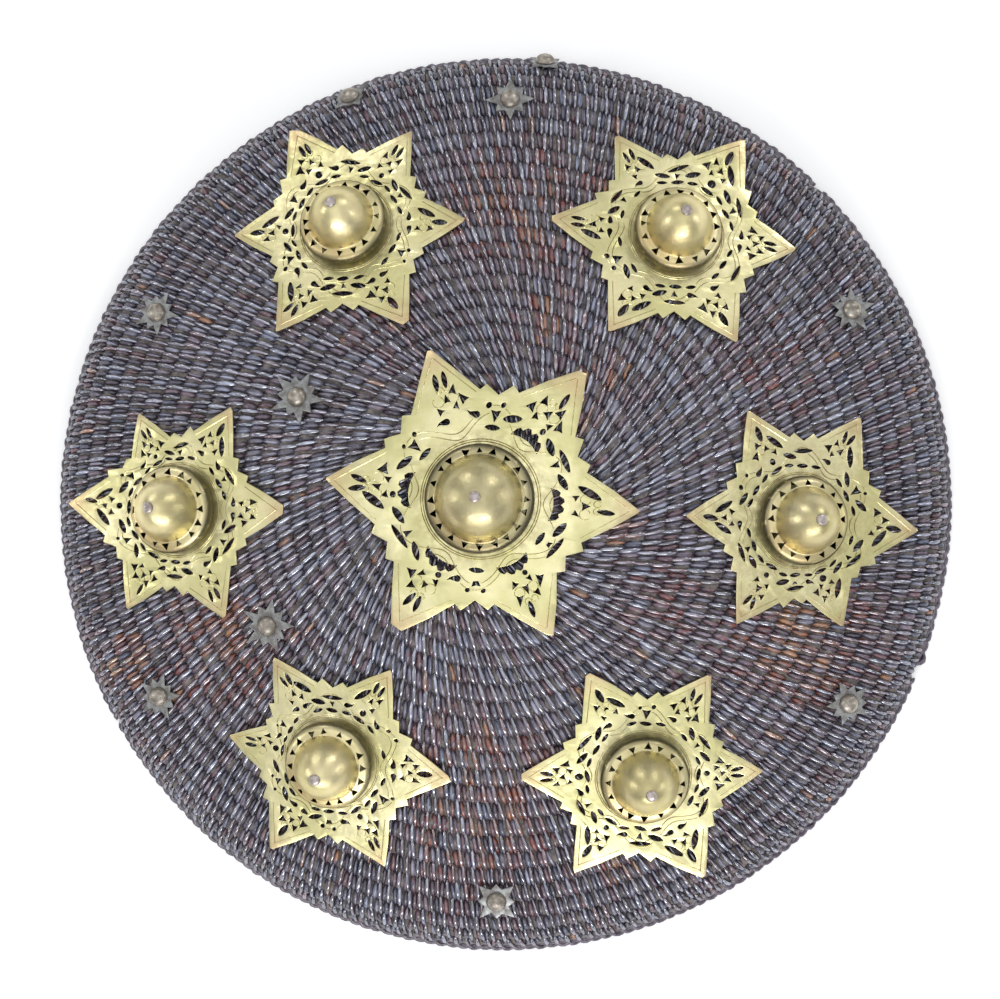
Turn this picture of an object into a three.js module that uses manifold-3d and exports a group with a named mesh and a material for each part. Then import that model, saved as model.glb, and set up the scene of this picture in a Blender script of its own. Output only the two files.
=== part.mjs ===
// A round, convex shield of coiled rattan with seven pierced brass stars, lying face up on its rim.
// Millimetres. +Z runs up the shield's axis and +Y towards its top edge.
// The origin is under the middle, on the surface that the rim lies on.
import * as THREE from "three";
import { TessellateModifier } from "three/addons/modifiers/TessellateModifier.js";
import { mergeVertices } from "three/addons/utils/BufferGeometryUtils.js";
import Module from "manifold-3d";

const { degToRad } = THREE.MathUtils;
const wasm = await Module();
wasm.setup();

// Woven body: a cone with a rounded top, turned down at the shoulder to a steep edge
const SHOULDER_RADIUS = 228;
const CONE_ANGLE = degToRad(19);
const TOP_ROUNDING = 90;
const EDGE_RADIUS = 247.5;
const EDGE_HEIGHT = 9.2;
const EDGE_ANGLE = degToRad(80);
const WALL = 9;
const CONE_STEPS = 6;
const SHOULDER_STEPS = 3;
const BODY_SEGMENTS = 48;

// Rim braid, with one break through it and two shallow chips
const BRAID_RADIUS = 250;
const BRAID_FLAT = [241.5, 247.5];
const BRAID_MIDDLE = 3.4;
const BRAID_TOP_GAP = 0.4;
const BRAID_BREAK = { bearing: degToRad(-22.7), width: 4.5, depth: 30 };
const BRAID_CHIPS = [
  { bearing: degToRad(-149.6), width: 5, depth: 5 },
  { bearing: degToRad(44.5), width: 4, depth: 4 },
];

// Star plates: bent sheet brass that follows the cone and stands a little clear of the coils
const PLATE_THICKNESS = 1.2;
const PLATE_GAP = 1;
const BEND_ROUNDS = 8;
const EDGE_END = { reach: 0.69, share: 0.325 };
const TOOTH = { reach: 0.725, share: 0.385 };
const NOTCH = { reach: 0.655, share: 0.5 };
const LEAF = { reach: 0.73, halfLength: 0.09, halfWidth: 0.035 };
const RING_HOLE = { inner: 0.45, outer: 0.53, halfWidth: 0.034, shares: [0.25, 0.75] };

// Domes: a bulging wall that tucks in at its foot, a narrow ledge and a blunt pointed crown, as
// [radius, height] of the outside
const OUTER_DOME = [
  [20.8, 0],
  [24.2, 5.4],
  [22.2, 10.2],
  [18.2, 11],
  [15.8, 20],
  [10, 28.6],
  [2.7, 33.5],
];
const CENTRE_DOME = [
  [26, 0],
  [29.3, 5.2],
  [27.2, 9.6],
  [23.4, 10.4],
  [20, 20],
  [12.4, 28.4],
  [3, 32.6],
];
const DOME_WALL = 1.1;
const INNER_CORNERS = [0, 3, 5];
const DOME_SEGMENTS = 14;
const SEAT_GAP = 0.35;

// Rivets through dome, plate and weave, clenched on the back
const RIVET_HEAD = { radius: 3.1, height: 1.7 };
const SHANK_RADIUS = 1.9;
const SHANK_HOLE_RADIUS = 2.7;
const CLENCH = { radius: 4, height: 1.6, gap: 0.9 };
const RIVET_SIDES = 6;

// Small stars, each held by a dome-headed nail driven into the weave
const STUD_THICKNESS = 1;
const STUD_GAP = 0.7;
const NAIL_HEAD = { radius: 5.4, height: 4.2 };
const NAIL_SHANK = { radius: 1.3, length: 7 };
const NAIL_HOLE = { radius: 2.4, depth: 7.4 };
const NAIL_SIDES = 6;

// The middle star is larger, and is bent in shorter spans because the cone's top is rounder
const MIDDLE = { dome: CENTRE_DOME, span: 42 };
const OUTER = { dome: OUTER_DOME, span: 60 };

// Where each hand-cut star sits, and the reach and bearing, in degrees, of each of its points
const STARS = [
  {
    place: "centre",
    x: -6.3,
    y: -3,
    reaches: [83.8, 86.9, 84.9, 84.3, 82.3, 80.7],
    bearings: [-4.3, 51.6, 109.2, 172, 236, 296.9],
    ...MIDDLE,
  },
  {
    place: "upper_left",
    x: -82,
    y: 147.5,
    reaches: [65.6, 64.8, 68.1, 63.6, 69.2, 68.1],
    bearings: [0.7, 58.4, 118.8, 181.5, 238.5, 302.1],
    ...OUTER,
  },
  {
    place: "upper_right",
    x: 97.5,
    y: 142,
    reaches: [65.7, 69.1, 65.3, 68.6, 68.2, 68.1],
    bearings: [-5.5, 56, 119.2, 174, 236.7, 297.5],
    ...OUTER,
  },
  {
    place: "right",
    x: 163.5,
    y: -13.5,
    reaches: [67.3, 65.7, 65.5, 64.1, 65.7, 61.4],
    bearings: [-4.3, 58.4, 116.5, 177.9, 236.8, 292.8],
    ...OUTER,
  },
  {
    place: "lower_right",
    x: 79,
    y: -150.5,
    reaches: [64.9, 65.6, 65.3, 66.2, 64.7, 67],
    bearings: [1.2, 57.9, 118.1, 179.1, 234.7, 300.5],
    ...OUTER,
  },
  {
    place: "lower_left",
    x: -89,
    y: -143,
    reaches: [65.6, 62.3, 64.3, 58.9, 62.8, 64.1],
    bearings: [-6.9, 55.5, 118.1, 167.4, 233.8, 294.7],
    ...OUTER,
  },
  {
    place: "left",
    x: -174.5,
    y: -6.5,
    reaches: [64, 63.5, 58.2, 66.8, 62.1, 65],
    bearings: [-0.7, 59.1, 114.1, 176, 240.2, 295.7],
    ...OUTER,
  },
];

// Small stars: long and short points take turns round the nail
const EDGE_STUD = { long: 13.5, short: 10.5, root: 7.4 };
const INNER_STUD = { long: 16.5, short: 12, root: 8.4 };
const RIM_STUD = { long: 11, short: 8, root: 7 };
const STUDS = [
  { place: "top", x: 6.5, y: 220, points: 4, turn: 90, size: EDGE_STUD },
  { place: "upper_left", x: -189, y: 103, points: 5, turn: 60, size: EDGE_STUD },
  { place: "upper_right", x: 193, y: 102, points: 5, turn: 20, size: EDGE_STUD },
  { place: "lower_left", x: -186.5, y: -108.5, points: 5, turn: 75, size: EDGE_STUD },
  { place: "lower_right", x: 190, y: -112, points: 5, turn: 40, size: EDGE_STUD },
  { place: "bottom", x: -1, y: -219.5, points: 4, turn: 45, size: EDGE_STUD },
  { place: "inner_upper", x: -107, y: 53.5, points: 5, turn: 62, size: INNER_STUD },
  { place: "inner_lower", x: -123.5, y: -70, points: 5, turn: 75, size: INNER_STUD },
  { place: "rim_upper_left", x: -83, y: 223.5, points: 4, turn: 45, size: RIM_STUD },
  { place: "rim_top", x: 25, y: 243, points: 4, turn: 45, size: RIM_STUD },
];

const FINISH = {
  rattan: { color: 0x3b2d2e, roughness: 0.5, metalness: 0 },
  braid: { color: 0x2c2129, roughness: 0.6, metalness: 0 },
  brass: { color: 0xc2ad6a, roughness: 0.35, metalness: 1 },
  rivet: { color: 0x8c8078, roughness: 0.5, metalness: 1 },
  tin: { color: 0x77736f, roughness: 0.6, metalness: 1 },
  nail: { color: 0x7d6c4c, roughness: 0.5, metalness: 1 },
};

// The cone's tilt and height at a distance from the axis
const coneTilt = (r) => Math.atan((Math.tan(CONE_ANGLE) * r) / Math.hypot(r, TOP_ROUNDING));
const coneDrop = (r) => Math.tan(CONE_ANGLE) * (Math.hypot(r, TOP_ROUNDING) - TOP_ROUNDING);
const shoulderTilt = coneTilt(SHOULDER_RADIUS);
const shoulderBend =
  (EDGE_RADIUS - SHOULDER_RADIUS) / (Math.sin(EDGE_ANGLE) - Math.sin(shoulderTilt));
const shoulderHeight =
  EDGE_HEIGHT + shoulderBend * (Math.cos(shoulderTilt) - Math.cos(EDGE_ANGLE));
const topHeight = shoulderHeight + coneDrop(SHOULDER_RADIUS);
const coneHeight = (r) => topHeight - coneDrop(r);

// The whole face: the cone, then the shoulder's arc
function faceTilt(r) {
  if (r <= SHOULDER_RADIUS) return coneTilt(r);
  return Math.asin(Math.sin(shoulderTilt) + (r - SHOULDER_RADIUS) / shoulderBend);
}

function faceHeight(r) {
  if (r <= SHOULDER_RADIUS) return coneHeight(r);
  return shoulderHeight - shoulderBend * (Math.cos(shoulderTilt) - Math.cos(faceTilt(r)));
}

// A profile point at a radius, sunk under the face along its normal
function sunkPoint(r, depth) {
  const tilt = faceTilt(r);
  return new THREE.Vector2(
    Math.max(0, r - depth * Math.sin(tilt)),
    faceHeight(r) - depth * Math.cos(tilt),
  );
}

// The radius on the shoulder at a share of its arc
function shoulderRadius(share) {
  const tilt = THREE.MathUtils.lerp(shoulderTilt, EDGE_ANGLE, share);
  return SHOULDER_RADIUS + shoulderBend * (Math.sin(tilt) - Math.sin(shoulderTilt));
}

// A closed solid from a geometry, for cutting
function solidOf(geometry) {
  const bare = geometry.clone();
  bare.deleteAttribute("normal");
  bare.deleteAttribute("uv");
  const merged = mergeVertices(bare);
  return new wasm.Manifold(
    new wasm.Mesh({
      numProp: 3,
      vertProperties: merged.attributes.position.array,
      triVerts: new Uint32Array(merged.index.array),
    }),
  );
}

function geometryOf(solid) {
  const mesh = solid.getMesh();
  const geometry = new THREE.BufferGeometry();
  geometry.setAttribute("position", new THREE.BufferAttribute(mesh.vertProperties, 3));
  geometry.setIndex(new THREE.BufferAttribute(mesh.triVerts, 1));
  geometry.computeVertexNormals();
  return geometry;
}

// A turned shape about +Z; its profile runs up the outside
function turned(profile, segments) {
  return new THREE.LatheGeometry(profile, segments).rotateX(Math.PI / 2);
}

// A group set on the face at a place, with its own +Z along the face's normal
function seatOnFace(x, y) {
  const r = Math.hypot(x, y);
  const tilt = faceTilt(r);
  const bearing = Math.atan2(y, x);
  const normal = new THREE.Vector3(
    Math.sin(tilt) * Math.cos(bearing),
    Math.sin(tilt) * Math.sin(bearing),
    Math.cos(tilt),
  );
  const seat = new THREE.Group();
  seat.position.set(x, y, faceHeight(r));
  seat.quaternion.setFromUnitVectors(new THREE.Vector3(0, 0, 1), normal);
  seat.updateMatrix();
  return seat;
}

function named(name, geometry, finish) {
  const mesh = new THREE.Mesh(geometry, new THREE.MeshStandardMaterial(finish));
  mesh.name = name;
  return mesh;
}

const polar = (reach, bearing) =>
  new THREE.Vector2(reach * Math.cos(bearing), reach * Math.sin(bearing));

function closedPath(points) {
  const path = new THREE.Path(points);
  path.closePath();
  return path;
}

// A round hole, with as many sides as the shank that it clears
function roundHole(radius, sides) {
  const corners = Array.from({ length: sides }, (_, i) => polar(radius, (2 * Math.PI * i) / sides));
  return closedPath(corners);
}

// A hole along the seat's normal, from above the face to a depth under it
function drillFor(seat, radius, sides, depth) {
  const above = PLATE_GAP;
  const drill = new THREE.CylinderGeometry(radius, radius, above + depth, sides);
  drill.rotateX(Math.PI / 2).translate(0, 0, (above - depth) / 2);
  return solidOf(drill.applyMatrix4(seat.matrix));
}

// Woven body: one dished wall of even thickness, with a hole for each shank
function rattanBody() {
  const radii = [];
  for (let i = 0; i <= CONE_STEPS; i += 1) radii.push((SHOULDER_RADIUS * i) / CONE_STEPS);
  for (let i = 1; i <= SHOULDER_STEPS; i += 1) radii.push(shoulderRadius(i / SHOULDER_STEPS));
  const face = radii.map((r) => sunkPoint(r, 0));
  const back = radii.map((r) => sunkPoint(r, WALL));
  let body = solidOf(turned([...back, ...face.reverse()], BODY_SEGMENTS));
  for (const star of STARS) {
    const drill = drillFor(seatOnFace(star.x, star.y), SHANK_HOLE_RADIUS, RIVET_SIDES, 2 * WALL);
    body = body.subtract(drill);
  }
  for (const stud of STUDS) {
    const drill = drillFor(seatOnFace(stud.x, stud.y), NAIL_HOLE.radius, 4, NAIL_HOLE.depth);
    body = body.subtract(drill);
  }
  return named("rattan_body", geometryOf(body), FINISH.rattan);
}

// A block across the braid at a bearing, reaching in from the outside
function braidGap({ bearing, width, depth }) {
  const block = new THREE.BoxGeometry(2 * depth, width, 4 * EDGE_HEIGHT);
  return solidOf(block.translate(BRAID_RADIUS, 0, 0).rotateZ(bearing));
}

function rimBraid() {
  const edge = sunkPoint(EDGE_RADIUS, 0);
  const inner = sunkPoint(EDGE_RADIUS, WALL);
  const profile = [
    new THREE.Vector2(BRAID_FLAT[0], 0),
    new THREE.Vector2(BRAID_FLAT[1], 0),
    new THREE.Vector2(BRAID_RADIUS, BRAID_MIDDLE),
    new THREE.Vector2(edge.x + 1, edge.y - BRAID_TOP_GAP),
    new THREE.Vector2(inner.x + 1, inner.y - BRAID_TOP_GAP),
    new THREE.Vector2(inner.x + 1, BRAID_MIDDLE),
    new THREE.Vector2(BRAID_FLAT[0], 0),
  ];
  let ring = solidOf(turned(profile, BODY_SEGMENTS));
  for (const gap of [BRAID_BREAK, ...BRAID_CHIPS]) ring = ring.subtract(braidGap(gap));
  return named("rim_braid", geometryOf(ring), FINISH.braid);
}

// A point of a flat plate, laid on the cone round the plate's own middle
function laidOnCone(star, point, height) {
  const middle = Math.atan2(star.y, star.x);
  const shorten = Math.cos(coneTilt(Math.hypot(star.x, star.y)));
  const along = (point.x * Math.cos(middle) + point.y * Math.sin(middle)) * shorten;
  const across = point.y * Math.cos(middle) - point.x * Math.sin(middle);
  const x = star.x + along * Math.cos(middle) - across * Math.sin(middle);
  const y = star.y + along * Math.sin(middle) + across * Math.cos(middle);
  const r = Math.hypot(x, y);
  const tilt = coneTilt(r);
  const out = height * Math.sin(tilt);
  return new THREE.Vector3(
    x + (out * x) / r,
    y + (out * y) / r,
    coneHeight(r) + height * Math.cos(tilt),
  );
}

// The points of a star in order, each with the reach of the next one and the angle to it
function starPoints({ reaches, bearings }) {
  return reaches.map((reach, i) => {
    const next = (i + 1) % reaches.length;
    const gap = (bearings[next] - bearings[i] + 360) % 360;
    return {
      reach,
      nextReach: reaches[next],
      bearing: degToRad(bearings[i]),
      gap: degToRad(gap),
    };
  });
}

// Flat outline of a star plate: straight-sided points with a pair of teeth in each corner between
function starOutline(points) {
  const shape = new THREE.Shape();
  const corners = [];
  for (const { reach, nextReach, bearing, gap } of points) {
    const next = bearing + gap;
    const middle = (NOTCH.reach * (reach + nextReach)) / 2;
    corners.push(polar(reach, bearing));
    corners.push(polar(EDGE_END.reach * reach, bearing + EDGE_END.share * gap));
    corners.push(polar(TOOTH.reach * reach, bearing + TOOTH.share * gap));
    corners.push(polar(middle, bearing + NOTCH.share * gap));
    corners.push(polar(TOOTH.reach * nextReach, next - TOOTH.share * gap));
    corners.push(polar(EDGE_END.reach * nextReach, next - EDGE_END.share * gap));
  }
  shape.setFromPoints(corners);
  return shape;
}

// A leaf-shaped piercing in a star's point
function leafHole({ reach, bearing }) {
  const side = polar(LEAF.halfWidth * reach, bearing + Math.PI / 2);
  const middle = polar(LEAF.reach * reach, bearing);
  const lengthways = polar(LEAF.halfLength * reach, bearing);
  return closedPath([
    middle.clone().add(lengthways),
    middle.clone().add(side),
    middle.clone().sub(lengthways),
    middle.clone().sub(side),
  ]);
}

// A wedge-shaped piercing beside the dome, pointing outwards
function wedgeHole(reach, bearing) {
  const side = polar(RING_HOLE.halfWidth * reach, bearing + Math.PI / 2);
  const foot = polar(RING_HOLE.inner * reach, bearing);
  return closedPath([
    polar(RING_HOLE.outer * reach, bearing),
    foot.clone().add(side),
    foot.clone().sub(side),
  ]);
}

// Piercings: a leaf in each point and a ring of wedges round the dome
function starPiercings(points) {
  const holes = [roundHole(SHANK_HOLE_RADIUS, RIVET_SIDES)];
  for (const point of points) {
    holes.push(leafHole(point));
    for (const share of RING_HOLE.shares) {
      holes.push(wedgeHole(point.reach, point.bearing + share * point.gap));
    }
  }
  return holes;
}

function starPlate(star) {
  const points = starPoints(star);
  const shape = starOutline(points);
  shape.holes.push(...starPiercings(points));
  const flat = new THREE.ExtrudeGeometry(shape, { depth: PLATE_THICKNESS, bevelEnabled: false });
  const plate = new TessellateModifier(star.span, BEND_ROUNDS).modify(flat);
  const spots = plate.attributes.position;
  for (let i = 0; i < spots.count; i += 1) {
    const spot = new THREE.Vector2(spots.getX(i), spots.getY(i));
    const laid = laidOnCone(star, spot, PLATE_GAP + spots.getZ(i));
    spots.setXYZ(i, laid.x, laid.y, laid.z);
  }
  plate.computeVertexNormals();
  return named(`star_plate_${star.place}`, plate, FINISH.brass);
}

// The height, over the seat, at which a dome's foot clears the bent plate all round
function domeFoot(star, seat) {
  const toSeat = seat.matrix.clone().invert();
  const radius = star.dome[0][0] - DOME_WALL;
  let foot = -Infinity;
  for (let i = 0; i < DOME_SEGMENTS; i += 1) {
    const spot = polar(radius, (2 * Math.PI * i) / DOME_SEGMENTS);
    const top = laidOnCone(star, spot, PLATE_GAP + PLATE_THICKNESS).applyMatrix4(toSeat);
    foot = Math.max(foot, top.z);
  }
  return foot + SEAT_GAP;
}

// A hollow dome with a hole at its tip, plainer inside than out
function bossDome(star, foot) {
  const outside = star.dome.map(([radius, height]) => new THREE.Vector2(radius, height));
  const tip = outside.at(-1);
  const inside = INNER_CORNERS.map((i) => {
    const { x, y } = outside[i];
    return new THREE.Vector2(x - DOME_WALL, Math.max(0, y - DOME_WALL));
  });
  inside.push(new THREE.Vector2(tip.x, tip.y - DOME_WALL));
  const shell = turned([...outside, ...inside.reverse(), outside[0]], DOME_SEGMENTS);
  const mesh = named(`boss_dome_${star.place}`, shell, FINISH.brass);
  mesh.position.z = foot;
  return mesh;
}

// A rivet with its head on the dome's tip and its end spread on the back
function bossRivet(star, foot) {
  const under = foot + star.dome.at(-1)[1] + SEAT_GAP;
  const back = -WALL - CLENCH.gap;
  const profile = [
    new THREE.Vector2(0, back - CLENCH.height),
    new THREE.Vector2(CLENCH.radius, back - CLENCH.height),
    new THREE.Vector2(CLENCH.radius, back),
    new THREE.Vector2(SHANK_RADIUS, back),
    new THREE.Vector2(SHANK_RADIUS, under),
    new THREE.Vector2(RIVET_HEAD.radius, under),
    new THREE.Vector2(RIVET_HEAD.radius * 0.7, under + RIVET_HEAD.height),
    new THREE.Vector2(0, under + RIVET_HEAD.height),
  ];
  return named(`boss_rivet_${star.place}`, turned(profile, RIVET_SIDES), FINISH.rivet);
}

function bossOn(star) {
  const seat = seatOnFace(star.x, star.y);
  const foot = domeFoot(star, seat);
  seat.add(bossDome(star, foot), bossRivet(star, foot));
  return seat;
}

function studStar({ place, points, turn, size }) {
  const corners = [];
  for (let i = 0; i < 2 * points; i += 1) {
    const bearing = degToRad(turn) + (Math.PI * i) / points;
    corners.push(polar(i % 2 === 0 ? size.long : size.short, bearing));
    corners.push(polar(size.root, bearing + Math.PI / (2 * points)));
  }
  const shape = new THREE.Shape(corners);
  shape.holes.push(roundHole(NAIL_HOLE.radius, 4));
  const plate = new THREE.ExtrudeGeometry(shape, { depth: STUD_THICKNESS, bevelEnabled: false });
  const mesh = named(`stud_star_${place}`, plate, FINISH.tin);
  mesh.position.z = STUD_GAP;
  return mesh;
}

function studNail({ place }) {
  const under = STUD_GAP + STUD_THICKNESS + SEAT_GAP;
  const { radius, height } = NAIL_HEAD;
  const profile = [
    new THREE.Vector2(0, under - NAIL_SHANK.length - STUD_THICKNESS),
    new THREE.Vector2(NAIL_SHANK.radius, under - NAIL_SHANK.length - STUD_THICKNESS),
    new THREE.Vector2(NAIL_SHANK.radius, under),
    new THREE.Vector2(radius, under),
    new THREE.Vector2(radius * 0.8, under + height * 0.6),
    new THREE.Vector2(radius * 0.4, under + height * 0.93),
    new THREE.Vector2(0, under + height),
  ];
  return named(`stud_nail_${place}`, turned(profile, NAIL_SIDES), FINISH.nail);
}

function studOn(stud) {
  const seat = seatOnFace(stud.x, stud.y);
  seat.add(studStar(stud), studNail(stud));
  return seat;
}

const shield = new THREE.Group();
shield.add(rattanBody(), rimBraid());
for (const star of STARS) shield.add(starPlate(star), bossOn(star));
for (const stud of STUDS) shield.add(studOn(stud));

export default shield;
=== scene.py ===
"""Looks of a round shield of coiled rattan with seven pierced brass stars.

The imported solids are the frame. Each class models one sub-assembly of the shield over its
solids, in metres and in the same frame, and dresses it in a finish of its own.
"""

import logging
import math
import random
from contextlib import contextmanager
from dataclasses import dataclass, field
from enum import Enum
from typing import Callable, Iterator, Sequence

import bpy
import numpy as np
from mathutils import Matrix, Vector


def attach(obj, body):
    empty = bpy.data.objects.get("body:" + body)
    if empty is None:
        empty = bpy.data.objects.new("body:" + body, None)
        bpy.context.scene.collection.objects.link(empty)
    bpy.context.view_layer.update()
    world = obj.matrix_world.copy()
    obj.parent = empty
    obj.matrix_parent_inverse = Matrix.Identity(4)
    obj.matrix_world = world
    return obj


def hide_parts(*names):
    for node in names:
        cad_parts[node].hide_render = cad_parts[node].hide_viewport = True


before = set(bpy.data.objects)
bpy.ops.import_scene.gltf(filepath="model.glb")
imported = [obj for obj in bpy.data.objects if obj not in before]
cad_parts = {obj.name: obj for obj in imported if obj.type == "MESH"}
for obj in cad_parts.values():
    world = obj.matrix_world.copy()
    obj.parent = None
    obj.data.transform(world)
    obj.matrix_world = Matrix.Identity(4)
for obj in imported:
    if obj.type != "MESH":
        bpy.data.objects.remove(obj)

MM = 0.001
BODY = "root"
MERGE = 1e-6
FLAT_NORMAL = 0.99
FILL_TURNS = (0.0, 0.37, 0.83, 1.21, 1.74, 2.29, 2.77)
FILL_SLACK = 0.03
HANDS = (-1, 1)
SECTOR = 60
LOG = logging.getLogger("shield")

Colour = tuple[float, float, float]
Spot = tuple[float, float]
Piece = bpy.types.Object
Socket = bpy.types.NodeSocket


class Slot(Enum):
    """The material slots."""

    RATTAN = "rattan"
    RIM = "rim_cane"
    BRASS = "brass"
    RIVET = "rivet_metal"
    TIN = "grey_tin"
    NAIL = "nail_bronze"


class Side(Enum):
    """The two sides of the woven wall."""

    FACE = 1
    BACK = -1


class TipStyle(Enum):
    """How the points of a brass star are pierced."""

    LEAF = "one leaf or two over pairs of wedges"
    TWIN = "two slender leaves over pairs of wedges, and lobed crescents round the dome"


# Tools of the bench


def clear_selection() -> None:
    """Leaves edit mode and deselects every object."""
    if bpy.context.object is not None and bpy.context.object.mode != "OBJECT":
        bpy.ops.object.mode_set(mode="OBJECT")
    bpy.ops.object.select_all(action="DESELECT")


def take_up(*pieces: Piece) -> None:
    """Selects some pieces and nothing else, and makes the first one active."""
    clear_selection()
    for piece in pieces:
        piece.select_set(True)
    bpy.context.view_layer.objects.active = pieces[0]


@contextmanager
def editing(piece: Piece) -> Iterator[None]:
    """Edit mode on one piece, with all of its mesh selected.

    Args:
        piece: The piece to edit.
    """
    take_up(piece)
    bpy.ops.object.mode_set(mode="EDIT")
    bpy.ops.mesh.select_all(action="SELECT")
    yield
    bpy.ops.object.mode_set(mode="OBJECT")


def set_all(thing: object, **values: object) -> None:
    """Sets several of a thing's own values."""
    for key, value in values.items():
        setattr(thing, key, value)


def added(operator: Callable[..., object], **settings: object) -> Piece:
    """Adds a primitive by its operator, and returns it."""
    clear_selection()
    operator(**settings)
    return bpy.context.object


def put_in(name: str, data: bpy.types.ID) -> Piece:
    """Makes an object of some data, links it to the scene and returns it."""
    made = bpy.data.objects.new(name, data)
    bpy.context.scene.collection.objects.link(made)
    return made


def modify(piece: Piece, kind: str, **settings: object) -> None:
    """Gives a piece a modifier, and applies it.

    Args:
        piece: The piece.
        kind: The modifier's type.
        **settings: The modifier's own settings.
    """
    take_up(piece)
    made = piece.modifiers.new(kind, kind)
    set_all(made, **settings)
    bpy.ops.object.modifier_apply(modifier=made.name)


def cut_away(piece: Piece, cutter: Piece) -> None:
    """Takes a closed cutter out of a piece, and removes the cutter."""
    modify(piece, "BOOLEAN", operation="DIFFERENCE", solver="EXACT", object=cutter)
    bpy.data.objects.remove(cutter)


def joined(*pieces: Piece) -> Piece:
    """Joins pieces into the first one, and returns it."""
    take_up(*pieces)
    bpy.ops.object.join()
    return pieces[0]


def close_seams(piece: Piece) -> None:
    """Merges doubles and turns every face outwards."""
    with editing(piece):
        bpy.ops.mesh.remove_doubles(threshold=MERGE)
        bpy.ops.mesh.normals_make_consistent(inside=False)


def smooth(piece: Piece, degrees: float) -> None:
    """Shades a piece smooth, but for edges sharper than an angle."""
    take_up(piece)
    bpy.ops.object.shade_smooth_by_angle(angle=math.radians(degrees))


def settle(piece: Piece, seat: Matrix) -> None:
    """Puts a piece's place into its mesh, so that its object stays at the origin.

    Args:
        piece: The piece, modelled at the origin.
        seat: Where it goes.
    """
    piece.matrix_world = seat
    take_up(piece)
    bpy.ops.object.transform_apply(location=True, rotation=True, scale=True)


def places_of(piece: Piece) -> np.ndarray:
    """A mesh's vertices as an n by 3 array."""
    places = np.empty(len(piece.data.vertices) * 3, np.float32)
    piece.data.vertices.foreach_get("co", places)
    return places.reshape(-1, 3).astype(float)


def set_places(piece: Piece, places: np.ndarray) -> None:
    """Moves a mesh's vertices to an n by 3 array."""
    piece.data.vertices.foreach_set("co", places.astype(np.float32).ravel())
    piece.data.update()


def note(piece: Piece, name: str, values: np.ndarray) -> None:
    """Keeps a number for each vertex, for the finish to read.

    Args:
        piece: The piece that carries the numbers.
        name: The attribute's name.
        values: One number a vertex, or three.
    """
    kind, key = ("FLOAT", "value") if values.ndim == 1 else ("FLOAT_VECTOR", "vector")
    made = piece.data.attributes.new(name, kind, "POINT")
    made.data.foreach_set(key, values.astype(np.float32).ravel())


def spun(name: str, profile: Sequence[Spot], steps: int) -> Piece:
    """Draws a profile by extruding one vertex, then spins it round +Z.

    Args:
        name: The piece's name.
        profile: Radius and height of each point, in metres.
        steps: Steps round the turn.

    Returns:
        The turned piece, at the origin.
    """
    piece = added(bpy.ops.mesh.primitive_plane_add, size=MM)
    piece.name = name
    with editing(piece):
        bpy.ops.mesh.merge(type="CENTER")
        bpy.ops.transform.translate(value=(profile[0][0], 0, profile[0][1]))
        for last, point in zip(profile, profile[1:]):
            step = (point[0] - last[0], 0, point[1] - last[1])
            bpy.ops.mesh.extrude_region_move(TRANSFORM_OT_translate={"value": step})
        bpy.ops.mesh.select_all(action="SELECT")
        bpy.ops.mesh.spin(steps=steps, angle=math.tau, center=(0, 0, 0), axis=(0, 0, 1))
    close_seams(piece)
    return piece


def meshed_curve(name: str, lines: Sequence[np.ndarray], closed: bool, **looks: object) -> Piece:
    """Draws poly lines as one curve and makes it a mesh.

    Args:
        name: The piece's name.
        lines: Each line's points, n by 3, with a radius as an optional fourth column.
        closed: Whether each line closes on itself.
        **looks: The curve's own settings, such as its bevel and fill.

    Returns:
        The meshed piece, at the origin.
    """
    curve = bpy.data.curves.new(name, "CURVE")
    set_all(curve, **looks)
    for line in lines:
        spline = curve.splines.new("POLY")
        spline.points.add(len(line) - 1)
        places = np.ones((len(line), 4), np.float32)
        places[:, :3] = line[:, :3]
        spline.points.foreach_set("co", places.ravel())
        if line.shape[1] == 4:
            spline.points.foreach_set("radius", line[:, 3].astype(np.float32))
        spline.use_cyclic_u = closed
    take_up(put_in(name, curve))
    bpy.ops.object.convert(target="MESH")
    close_seams(bpy.context.object)
    return bpy.context.object


def rods(name: str, lines: Sequence[np.ndarray], radius: float, roundness: int) -> Piece:
    """Lays round rods of some radius along open lines, as one mesh."""
    looks = {"dimensions": "3D", "bevel_depth": radius, "bevel_resolution": roundness}
    return meshed_curve(name, lines, False, **looks, use_fill_caps=True)


def flat_sheet(name: str, outlines: Sequence[np.ndarray], thickness: float, bevel: float) -> Piece:
    """Cuts a sheet with rounded edges from flat outlines, turned until the fill is whole.

    Args:
        name: The piece's name.
        outlines: The outer edge and each hole, n by 2, in metres.
        thickness: The sheet's thickness; it lies from z 0 up.
        bevel: How far its edges are rounded.

    Returns:
        The sheet, at the origin.
    """
    edge, *holes = (area_of(line) for line in outlines)
    sides = [np.linalg.norm(line - np.roll(line, 1, axis=0), axis=1) for line in outlines]
    flat_top = edge - sum(holes) - bevel * sum(side.sum() for side in sides)
    for turn in FILL_TURNS:
        sheet = meshed_curve(
            name, [raised(turned_to(turn, line), 0) for line in outlines], True, dimensions="2D",
            fill_mode="BOTH", extrude=thickness / 2 - bevel, bevel_depth=bevel, bevel_resolution=1,
            offset=-bevel,
        )
        top = sum(face.area for face in sheet.data.polygons if face.normal.z > FLAT_NORMAL)
        if abs(top / flat_top - 1) < FILL_SLACK:
            break
        bpy.data.objects.remove(sheet)
    places = places_of(sheet)
    flat = turned_to(-turn, places[:, :2])
    set_places(sheet, np.column_stack([flat, places[:, 2] + thickness / 2]))
    return sheet


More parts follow.
